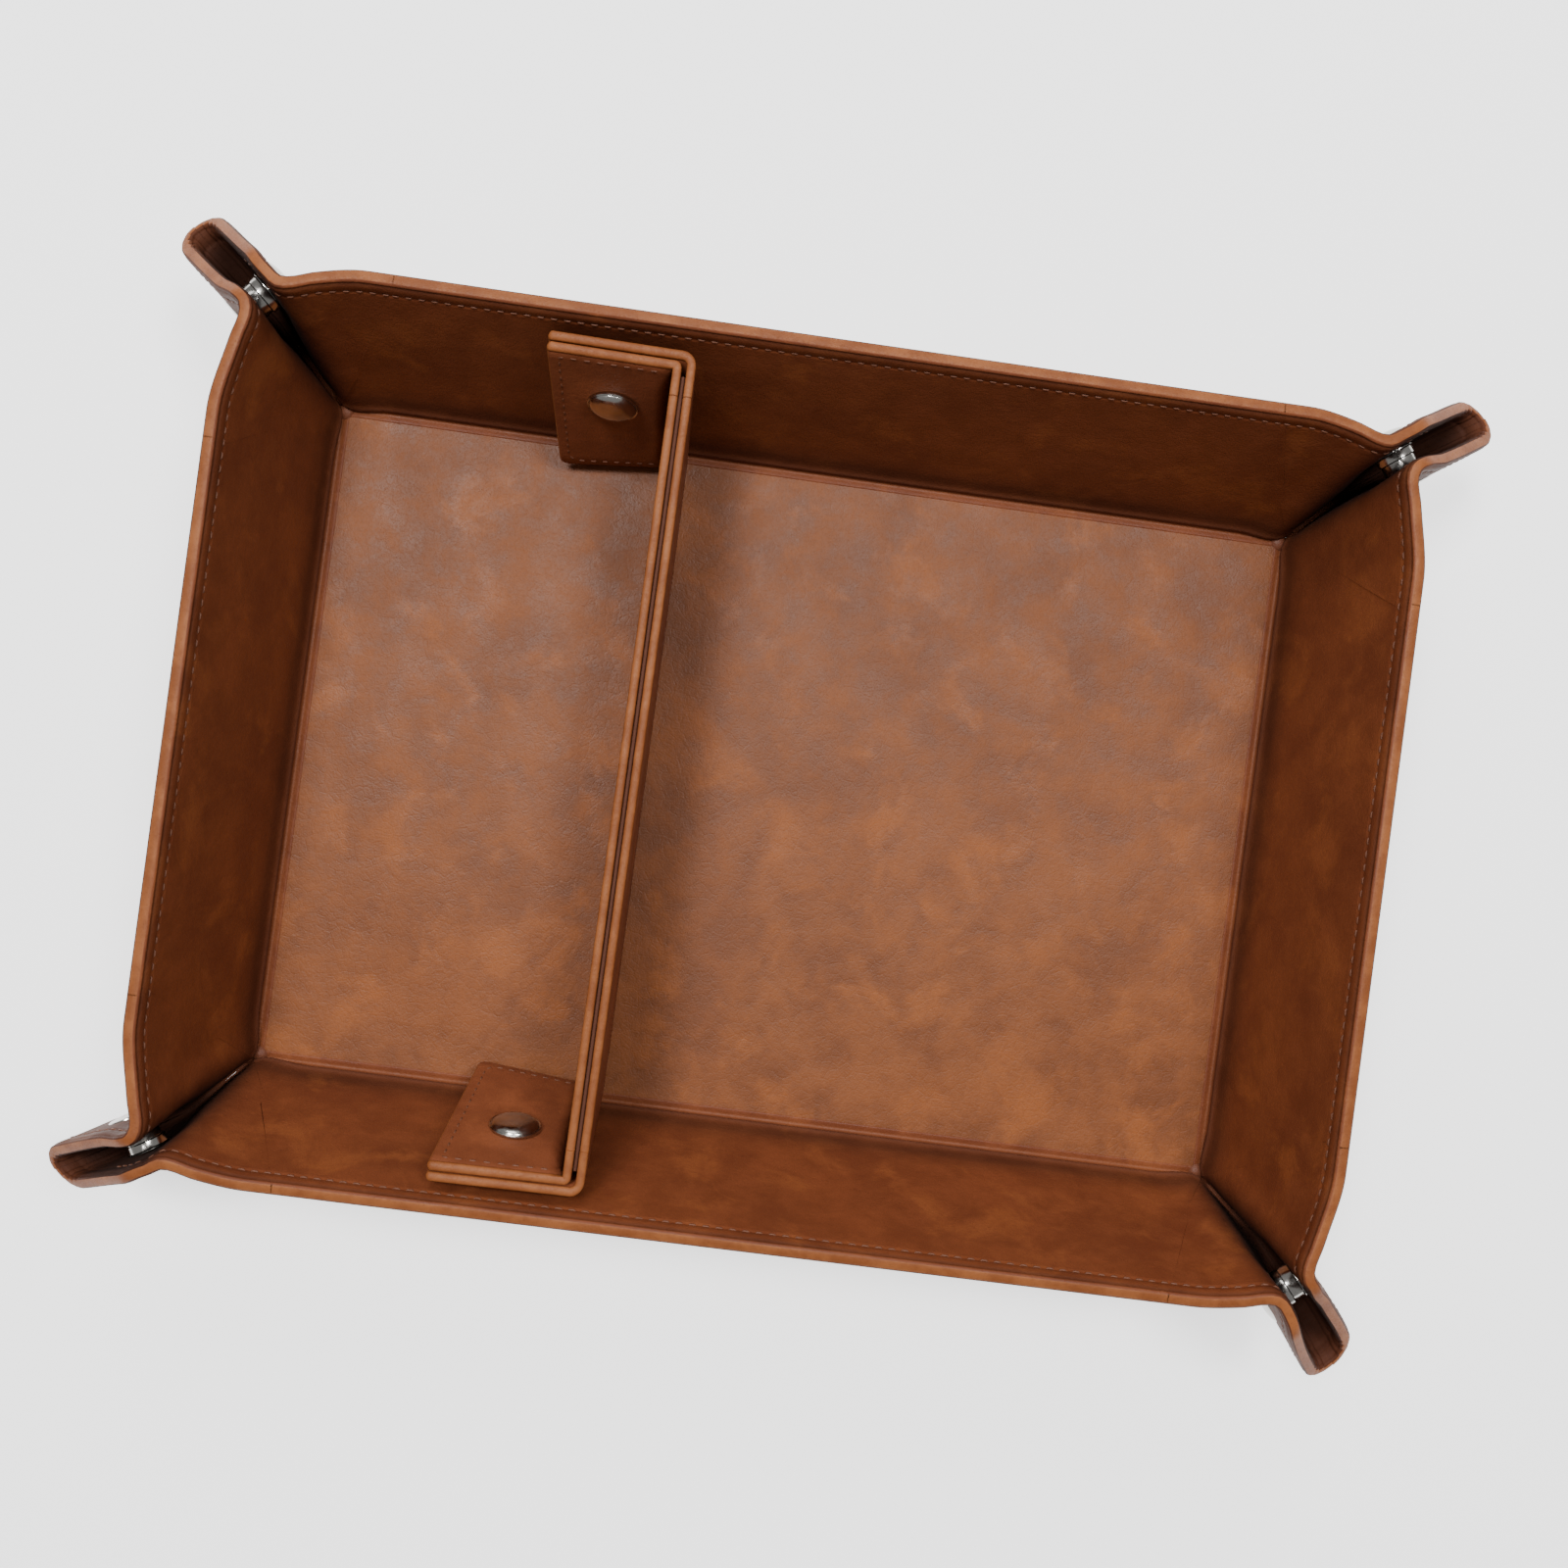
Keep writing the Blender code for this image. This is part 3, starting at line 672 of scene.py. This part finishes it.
def build_divider(materials, core_material):
    x_left, x_right, low, high = divider_box()
    for side, centre in (("left", x_left + PLY / 2), ("right", x_right - PLY / 2)):
        out = -1 if side == "left" else 1

        def place(f, h, c):
            reach = divider_end(h) - WRAP_FROM + 0.2 * MM
            return lean(warp(np.stack((centre + c * out, f / HALF_WIDTH * reach, h), axis=-1)))

        lengths = list(np.linspace(-HALF_WIDTH, HALF_WIDTH, 31))
        obj = build_ply(f"divider_{side}_ply", place, lengths, lambda f: (low, high), PLY, materials)
        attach(obj, "divider")
        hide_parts(f"divider_{side}_skin")

    def core_place(f, h, c):
        return lean(warp(np.stack(((x_left + x_right) / 2 + c, f * (divider_end(h) - 2.5 * MM), h), axis=-1)))

    obj = build_ply(
        "divider_stiffener", core_place, list(np.linspace(-1, 1, 31)),
        lambda f: (low + 1 * MM, high - 1.0 * MM), PLY_GAP * 0.96, [core_material] * 3,
    )
    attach(obj, "divider")
    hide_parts("divider_core")


def tab_path(centre_a, centre_c, bend, start):
    """A ply's centre line seen from above, as (length, a, c, normal a, normal c).

    a runs from the divider's left face along the tab, c from the tab's front face towards the wall."""
    points = [(centre_a, c) for c in np.linspace(start, centre_c - bend, 6)]
    for k in range(1, 8):
        angle = math.pi / 2 * k / 8
        points.append((centre_a + bend - bend * math.cos(angle), centre_c - bend + bend * math.sin(angle)))
    ends = list(np.linspace(centre_a + bend, TAB_LENGTH - 6 * MM, 6))
    ends += list(np.linspace(TAB_LENGTH - 6 * MM, TAB_LENGTH - 1 * MM, 9)[1:])
    ends += [TAB_LENGTH - 0.8 * MM, TAB_LENGTH - 0.6 * MM, TAB_LENGTH - 0.35 * MM, TAB_LENGTH - 0.15 * MM]
    ends += [TAB_LENGTH - 0.04 * MM, TAB_LENGTH]
    points += [(a, centre_c) for a in ends]
    points = np.array(points)
    steps = np.linalg.norm(np.diff(points, axis=0), axis=1)
    length = np.concatenate(((0,), np.cumsum(steps)))
    tangent = np.gradient(points, axis=0)
    tangent /= np.linalg.norm(tangent, axis=1)[:, None]
    return length, points, np.stack((-tangent[:, 1], tangent[:, 0]), axis=-1)


def tab_span(a):
    """The lowest and highest edge of a tab at distance a along it, with its rounded free corners."""
    low, high = TAB_SPAN
    edges = []
    for radius in TAB_CORNERS:
        into = max(a - (TAB_LENGTH - radius), 0)
        edges.append(radius - math.sqrt(max(radius * radius - into * into, 0)))
    low = low + min(edges[0], TAB_CORNERS[0] * 0.93)
    return low, high - edges[1]


def build_tabs(materials, thread):
    x_left, x_right, _, _ = divider_box()
    width = x_right - x_left
    for name in ("back", "front"):
        joint = JOINTS[f"fold_tab_{name}"]
        origin = np.array(joint["pos_m"], float)
        up = unit(joint["axis"]) * np.sign(joint["axis"][2])
        outward = np.array((0, np.sign(origin[1]) / up[2], 0))

        def plan(a, c, h):
            rise = h / TAB_SPAN[1]
            along = np.clip(a / TAB_LENGTH, 0, 1)
            near = smooth((c + 4 * MM) / (4 * MM))
            a = a + along * (TAB_SKEW[name][0] * rise + TAB_SKEW[name][1] * (1 - rise))
            c = c + along * (TAB_LEAN[0] * rise + TAB_LEAN[1] * (1 - rise)) + near * TAB_FOOT * (1 - rise)
            return origin + a[:, None] * np.array((-1.0, 0, 0)) + c[:, None] * outward + h[:, None] * up

        for ply, centre_a, centre_c, bend in (
            ("back_ply", -width + PLY / 2, PLY * 1.5 + 0.3 * MM, 2.0 * MM),
            ("front_ply", -PLY / 2, PLY / 2, 0.55 * MM),
        ):
            length, points, normal = tab_path(centre_a, centre_c, bend, 1.7 * MM - WRAP_FROM * up[2])

            def place(l, h, off):
                a = np.interp(l, length, points[:, 0]) + off * np.interp(l, length, normal[:, 0])
                c = np.interp(l, length, points[:, 1]) + off * np.interp(l, length, normal[:, 1])
                return lean(warp(plan(a, c, h)))

            def span_at(l):
                return tab_span(np.interp(l, length, points[:, 0]))

            obj = build_ply(
                f"tab_{name}_{ply}", place, list(length), span_at, PLY, materials, round_end=True
            )
            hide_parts(f"tab_{name}_{'outer' if ply == 'back_ply' else 'inner'}")
            blend_tab(obj, origin)
        low, high = TAB_SPAN[0] + TAB_SEAM, TAB_SPAN[1] - TAB_SEAM
        far = TAB_LENGTH - TAB_SEAM
        run = [(2 * MM, low)]
        for k in range(5):
            angle = k * math.pi / 8
            bend = SEAM_BEND * (1 - math.sin(angle)), SEAM_BEND * (1 - math.cos(angle))
            run.append((far - bend[0], low + bend[1]))
        run += [(far, high), (2 * MM, high)]

        def front(a, b, q):
            return lean(warp(plan(a, q, b)))

        mesh = stitch_mesh(f"stitches_tab_{name}", front, run, (0.02 * MM, 1))
        obj = link(mesh.name, mesh, [thread])
        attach(obj, f"tab_{name}")


def blend_tab(obj, origin):
    """Bakes the ply's transform into its mesh; its wrapped corner between the divider and the tab is already in
    its shape.
    """
    centre = warp(origin[None] + np.array(((0, 0, 24 * MM),)))[0]
    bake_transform(obj)


# ---------------------------------------------------------------- press studs


def leather_facing(middle, axis):
    """The way the folded leather faces at middle, where the flat panel faces along axis."""
    first = unit(np.cross(axis, UP)) * 4 * MM
    second = np.cross(first, axis)
    ends = warp(np.array((middle + first, middle - first, middle + second, middle - second)))
    normal = unit(np.cross(ends[0] - ends[1], ends[2] - ends[3]))
    return normal * np.sign(normal @ axis)


def turned(name, kind, node, body, material, axis, out=0.0, longer=0.0):
    """A turned metal piece on a CAD node's centre line.

    axis points away from the leather. The piece is moved by out along it and made longer at its foot."""
    co = np.array([v.co for v in frame["nodes"][node].data.vertices], float)
    centre = (co[:, None] @ axis).ravel()
    middle = co.mean(0)
    lowest, highest = centre.min(), centre.max()
    reach = lowest - middle @ axis + out - longer
    height = highest - lowest + longer
    shift = warp(middle[None])[0] - middle
    if "tab" in node or node.startswith("wall"):
        shift = lean(warp(middle[None]))[0] - middle
    bm = bmesh.new()
    rows = SNAP_SHAPES[kind](height)
    verts = [bm.verts.new((r, 0, z)) for r, z in rows]
    edges = [bm.edges.new(pair) for pair in zip(verts, verts[1:])]
    if rows[0][0] > 0 and rows[-1][0] > 0:
        edges.append(bm.edges.new((verts[-1], verts[0])))
    bmesh.ops.spin(bm, geom=verts + edges, axis=(0, 0, 1), cent=(0, 0, 0), angle=2 * math.pi, steps=44)
    bmesh.ops.remove_doubles(bm, verts=bm.verts, dist=1e-6)
    bmesh.ops.recalc_face_normals(bm, faces=bm.faces)
    for face in bm.faces:
        face.smooth = True
    facing = leather_facing(middle, axis)
    placed = Vector(facing).to_track_quat("Z", "Y").to_matrix().to_4x4()
    placed.translation = Vector(middle + shift + facing * reach)
    bmesh.ops.transform(bm, matrix=placed, verts=bm.verts)
    mesh = bpy.data.meshes.new(name)
    bm.to_mesh(mesh)
    bm.free()
    mesh.set_sharp_from_angle(angle=math.radians(38))
    obj = link(name, mesh, [material])
    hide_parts(node)
    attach(obj, body)
    return obj


def cap_shape(height):
    """Domed cap with a rolled rim, on a short stem that sits in the leather."""
    crown = 2.1 * MM
    stem = height - crown
    dome = []
    for degrees in (0, 8, 16, 25, 35, 46, 58, 70, 80, 88):
        a = math.radians(degrees)
        dome.append((5.05 * MM * math.sin(a), stem + crown * (0.22 + 0.78 * math.cos(a))))
    rim = [
        (5.3 * MM, stem + 0.3 * crown), (5.48 * MM, stem + 0.22 * crown),
        (5.5 * MM, stem + 0.12 * crown), (5.4 * MM, stem), (1.4 * MM, stem),
    ]
    return dome + rim + [(1.4 * MM, 0), (0, 0)]


def socket_shape(height):
    """Flat flange and a round body with the bore that takes the stud's knob."""
    return [
        (4.3 * MM, 0), (4.4 * MM, 0.08 * MM), (4.4 * MM, 0.2 * MM), (4.2 * MM, 0.3 * MM),
        (4.1 * MM, 0.36 * MM), (4.0 * MM, 0.5 * MM), (3.9 * MM, height - 0.3 * MM),
        (3.6 * MM, height - 0.06 * MM), (3.1 * MM, height), (2.75 * MM, height - 0.08 * MM),
        (2.65 * MM, 0.6 * height), (2.65 * MM, 0),
    ]


def stud_shape(height):
    """Flat flange, a body and the knob that clips into the socket."""
    knob = 0.75 * MM
    foot = height - knob
    return [
        (0, 0), (4.05 * MM, 0), (4.2 * MM, 0.08 * MM), (4.2 * MM, 0.2 * MM), (4.0 * MM, 0.3 * MM),
        (3.8 * MM, 0.36 * MM), (3.7 * MM, 0.5 * MM), (3.6 * MM, foot - 0.1 * MM), (3.2 * MM, foot),
        (1.8 * MM, foot), (1.65 * MM, foot + 0.2 * knob), (1.9 * MM, foot + 0.5 * knob),
        (1.8 * MM, foot + 0.8 * knob), (1.3 * MM, height), (0, height),
    ]


def post_shape(height):
    """Flat riveted back plate with a slight dish, on a stem through the leather."""
    plate = 1.0 * MM
    stem = height - plate
    return [
        (0, stem + 0.7 * plate), (2.2 * MM, stem + 0.72 * plate), (3.4 * MM, stem + 0.95 * plate),
        (3.9 * MM, height), (4.25 * MM, stem + 0.85 * plate), (4.4 * MM, stem + 0.45 * plate),
        (4.35 * MM, stem), (1.4 * MM, stem), (1.4 * MM, 0), (0, 0),
    ]


# the divider's press studs: what holds each part, and whether it faces into the tray
DIVIDER_SNAPS = (("tab", "cap", 1), ("tab", "socket", -1), ("wall", "stud", 1), ("wall", "post", -1))
SNAP_SHAPES = {"cap": cap_shape, "socket": socket_shape, "stud": stud_shape, "post": post_shape}


def build_studs(metal):
    """Cap and socket on the back and front ears and on the tabs, stud and post on what they snap to."""
    for wall in WALLS.values():
        holds_cap = wall.name in ("back", "front")
        for end in wall.ends:
            corner = f"{wall.name}_{end.name}" if holds_cap else f"{end.name}_{wall.name}"
            outer = {"axis": -end.inward, "out": SNAP_OUT}
            inner = {"axis": end.inward, "longer": SNAP_ROOM}
            kinds = (("cap", outer), ("socket", inner)) if holds_cap else (("stud", inner), ("post", outer))
            for kind, placing in kinds:
                node, body = f"corner_{kind}_{corner}", f"flap_{wall.name}_at_{end.name}"
                turned(f"snap_{kind}_{corner}", kind, node, body, metal, **placing)
        if holds_cap:
            for holder, kind, side in DIVIDER_SNAPS:
                node, body = f"{holder}_{kind}_{wall.name}", f"{holder}_{wall.name}"
                turned(f"{holder}_snap_{kind}_{wall.name}", kind, node, body, metal, axis=side * wall.normal)


# ---------------------------------------------------------------- materials


class Shader:
    """Short names for the few nodes that every material here is made of."""

    def __init__(self, name):
        self.material = bpy.data.materials.new(name)
        self.material.use_nodes = True
        self.tree = self.material.node_tree
        self.bsdf = self.tree.nodes["Principled BSDF"]

    def put(self, target, value):
        if isinstance(value, bpy.types.NodeSocket):
            self.tree.links.new(value, target)
        else:
            target.default_value = value

    def node(self, kind, **sockets):
        node = self.tree.nodes.new(kind)
        for key, value in sockets.items():
            self.put(node.inputs[key.replace("_", " ")], value)
        return node

    def attribute(self, name):
        node = self.tree.nodes.new("ShaderNodeAttribute")
        node.attribute_name = name
        return node.outputs["Vector"]

    def split(self, vector):
        node = self.node("ShaderNodeSeparateXYZ", Vector=vector)
        return node.outputs[0], node.outputs[1], node.outputs[2]

    def noise(self, vector, scale, detail=3.0, roughness=0.55, distortion=0.0):
        node = self.node(
            "ShaderNodeTexNoise", Vector=vector, Scale=scale, Detail=detail, Roughness=roughness,
            Distortion=distortion,
        )
        return node.outputs["Fac"]

    def cells(self, vector, scale, feature="F1"):
        node = self.tree.nodes.new("ShaderNodeTexVoronoi")
        node.feature = feature
        self.put(node.inputs["Vector"], vector)
        self.put(node.inputs["Scale"], scale)
        return node.outputs["Distance"]

    def maths(self, operation, a, b=0.0, clamp=False):
        node = self.tree.nodes.new("ShaderNodeMath")
        node.operation = operation
        node.use_clamp = clamp
        self.put(node.inputs[0], a)
        self.put(node.inputs[1], b)
        return node.outputs[0]

    def between(self, value, low, high, to_low=0.0, to_high=1.0):
        node = self.tree.nodes.new("ShaderNodeMapRange")
        node.interpolation_type = "SMOOTHSTEP"
        names = ("Value", "From Min", "From Max", "To Min", "To Max")
        for key, v in zip(names, (value, low, high, to_low, to_high)):
            self.put(node.inputs[key], v)
        return node.outputs["Result"]

    def mix(self, factor, a, b, blend="MIX"):
        node = self.tree.nodes.new("ShaderNodeMix")
        node.data_type = "RGBA"
        node.blend_type = blend
        self.put(node.inputs[0], factor)
        self.put(node.inputs[6], a)
        self.put(node.inputs[7], b)
        return node.outputs[2]

    def bump(self, height, distance, strength=1.0, normal=None):
        node = self.node("ShaderNodeBump", Height=height, Distance=distance, Strength=strength)
        if normal is not None:
            self.put(node.inputs["Normal"], normal)
        return node.outputs["Normal"]

    def set(self, **sockets):
        for key, value in sockets.items():
            self.put(self.bsdf.inputs[key.replace("_", " ")], value)


def colour(r, g, b):
    return (r, g, b, 1.0)


def leather(name, tones, roughness, haze, masks=True):
    """Oiled, pulled-up leather: soft mottling, pores, creases and pale scuffs, from the flat sheet's places; with
    masks, also painted shade in its folds.

    tones holds its dark, middle and light colours; haze is its specular level."""
    m = Shader(name)
    dark, body, light = (colour(*tone) for tone in tones)
    place = m.attribute("flat")
    clouds = m.noise(place, 42, 4, 0.6, 0.15)
    patches = m.noise(place, 130, 5, 0.65, 0.25)
    specks = m.noise(place, 1100, 3, 0.7)
    grain = m.cells(place, 2300)
    fine = m.noise(place, 3600, 2, 0.6)
    tone = m.maths("ADD", m.maths("MULTIPLY", clouds, 0.55), m.maths("MULTIPLY", patches, 0.45))
    base = m.mix(m.between(tone, 0.36, 0.64), dark, body)
    warm = m.between(m.noise(place, 58, 4, 0.62, 0.4), 0.5, 0.7, 0.0, 0.8)
    base = m.mix(warm, base, light)
    base = m.mix(m.between(specks, 0.42, 0.75, 0.0, 0.34), base, dark)
    contour = m.maths("ABSOLUTE", m.maths("SUBTRACT", m.noise(place, 21, 0.6, 0.5, 0.3), 0.5))
    scratch = m.maths("SUBTRACT", 1.0, m.between(contour, 0.0006, 0.0028))
    scratch = m.maths("MULTIPLY", scratch, m.between(m.noise(place, 60, 2), 0.52, 0.64))
    base = m.mix(m.maths("MULTIPLY", scratch, 0.25), base, light)
    if masks:
        painted_shade, ridge, line = m.split(m.attribute("wear"))
        # painted shade: the first mask darkens the liner almost to black in its folds, pinched pockets and wrinkle
        # troughs; the other two tint the crease ridges and the pressed crease line
        base = m.mix(m.maths("MULTIPLY", painted_shade, 0.86), base, colour(0.01, 0.003, 0.0015))
        base = m.mix(m.maths("MULTIPLY", ridge, 0.55), base, colour(0.13, 0.052, 0.032))
        base = m.mix(m.maths("MULTIPLY", line, 0.5), base, colour(0.2, 0.062, 0.02))
    rough = m.between(patches, 0.3, 0.7, roughness - 0.06, roughness + 0.08)
    rough = m.maths("ADD", rough, m.between(grain, 0.0, 0.6, 0.06, -0.04))
    if masks:
        rough = m.maths("ADD", rough, m.maths("MULTIPLY", painted_shade, 0.35), clamp=True)
    wrinkles = m.cells(place, 480, "DISTANCE_TO_EDGE")
    relief = m.maths("MULTIPLY", m.between(wrinkles, 0.0, 0.12), 0.3)
    relief = m.maths("ADD", relief, m.maths("MULTIPLY", grain, 0.5))
    relief = m.maths("ADD", relief, m.maths("MULTIPLY", fine, 0.35))
    normal = m.bump(m.maths("SUBTRACT", relief, m.maths("MULTIPLY", scratch, 0.1)), 0.07 * MM, 0.8)
    normal = m.bump(patches, 0.35 * MM, 0.5, normal)
    m.set(Base_Color=base, Roughness=rough, Normal=normal)
    m.set(Specular_IOR_Level=haze, IOR=1.45)
    return m.material


def painted_edge():
    """Tan edge paint over the cut leather, rubbed and slightly uneven."""
    m = Shader("edge_paint")
    place = m.node("ShaderNodeTexCoord").outputs["Object"]
    cloud = m.between(m.noise(place, 160, 4, 0.65), 0.35, 0.68)
    base = m.mix(cloud, colour(0.19, 0.052, 0.011), colour(0.27, 0.085, 0.022))
    fibre = m.noise(place, 2400, 2, 0.6)
    base = m.mix(m.between(fibre, 0.55, 0.8, 0.0, 0.35), base, colour(0.08, 0.02, 0.005))
    m.set(Base_Color=base, Roughness=m.between(fibre, 0.3, 0.7, 0.5, 0.65))
    m.set(Normal=m.bump(fibre, 0.08 * MM, 0.6), Specular_IOR_Level=0.3)
    return m.material


def groove_fill():
    m = Shader("divider_core")
    place = m.node("ShaderNodeTexCoord").outputs["Object"]
    fibre = m.noise(place, 1500, 3, 0.7)
    base = m.mix(fibre, colour(0.05, 0.011, 0.003), colour(0.1, 0.025, 0.007))
    m.set(Base_Color=base, Roughness=0.8, Normal=m.bump(fibre, 0.15 * MM, 0.8))
    return m.material


def thread_material():
    """Twisted waxed thread."""
    m = Shader("stitching")
    place = m.node("ShaderNodeTexCoord").outputs["Object"]
    strand = m.noise(place, 5200, 2, 0.6)
    base = m.mix(strand, colour(0.08, 0.024, 0.01), colour(0.19, 0.066, 0.03))
    m.set(Base_Color=base, Roughness=0.62, Normal=m.bump(strand, 0.1 * MM, 0.9))
    return m.material


def nickel():
    """Polished nickel plate with a fine haze of scratches."""
    m = Shader("nickel_plate")
    place = m.node("ShaderNodeTexCoord").outputs["Object"]
    haze = m.noise(place, 700, 4, 0.65)
    scratch = m.noise(place, 5200, 2, 0.7)
    m.set(Base_Color=m.mix(haze, colour(0.42, 0.4, 0.37), colour(0.55, 0.53, 0.5)), Metallic=1.0)
    m.set(Roughness=m.between(haze, 0.35, 0.7, 0.13, 0.27), Normal=m.bump(scratch, 0.01 * MM, 0.5))
    return m.material


# ---------------------------------------------------------------- stage


def build_stage():
    """A pale table and soft light from above with its stronger side to the left."""
    bm = bmesh.new()
    bmesh.ops.create_grid(bm, x_segments=1, y_segments=1, size=3.0)
    bmesh.ops.translate(bm, verts=bm.verts, vec=(0, 0, -0.1 * MM))
    mesh = bpy.data.meshes.new("table")
    bm.to_mesh(mesh)
    bm.free()
    m = Shader("table_white")
    m.set(Base_Color=colour(0.93, 0.93, 0.93), Roughness=0.9)
    m.set(Emission_Color=colour(1, 1, 1), Emission_Strength=1.3)
    table = link("table", mesh, [m.material])
    world = bpy.data.worlds.new("studio")
    world.use_nodes = True
    world.node_tree.nodes["Background"].inputs["Color"].default_value = (1, 1, 1, 1)
    world.node_tree.nodes["Background"].inputs["Strength"].default_value = 0.32
    bpy.context.scene.world = world
    for name, place, size, power in (
        ("softbox_left", (-0.34, 0.24, 1.2), 0.28, 12),
        ("softbox_right", (0.34, 0.28, 1.2), 0.3, 9),
        ("softbox_back", (-0.2, 1.0, 0.8), 0.6, 5),
    ):
        light = bpy.data.lights.new(name, "AREA")
        light.shape = "SQUARE"
        light.size = size
        light.energy = power
        lamp = bpy.data.objects.new(name, light)
        bpy.context.scene.collection.objects.link(lamp)
        lamp.location = place
        lamp.rotation_euler = (-Vector(place)).to_track_quat("-Z", "Y").to_euler()


def build_camera():
    camera = bpy.data.cameras.new("camera")
    camera.sensor_width = 36
    camera.lens = CAMERA_LENS
    camera.dof.use_dof = False
    camera.clip_start = 0.01
    obj = bpy.data.objects.new("camera", camera)
    bpy.context.scene.collection.objects.link(obj)
    obj.location = CAMERA_PLACE
    obj.rotation_euler = CAMERA_TURN
    bpy.context.scene.camera = obj


def main():
    # the floor's leather is painted lighter than the walls' for the overhead light's sheen
    floor_liner = leather("floor_leather", FLOOR_TONES_WITH_PAINTED_SHEEN, 0.5, 0.28)
    wall_liner = leather("wall_leather", WALL_TONES, 0.52, 0.24)
    outer_skin = leather("outer_leather", OUTER_TONES, 0.6, 0.15, masks=False)
    ply = leather("divider_leather", PLY_TONES, 0.52, 0.24, masks=False)
    edge = painted_edge()
    thread = thread_material()
    metal = nickel()
    build_floor([floor_liner, outer_skin, edge])
    build_corner_puckers(wall_liner)
    for wall in WALLS.values():
        build_wall(wall, [wall_liner, outer_skin, edge])
        for end in wall.ends:
            build_flap(wall, end, [wall_liner, outer_skin, edge])
        stitch_sheet(wall, thread)
    build_divider([ply, ply, edge], groove_fill())
    build_tabs([ply, ply, edge], thread)
    build_studs(metal)
    build_stage()
    build_camera()


main()
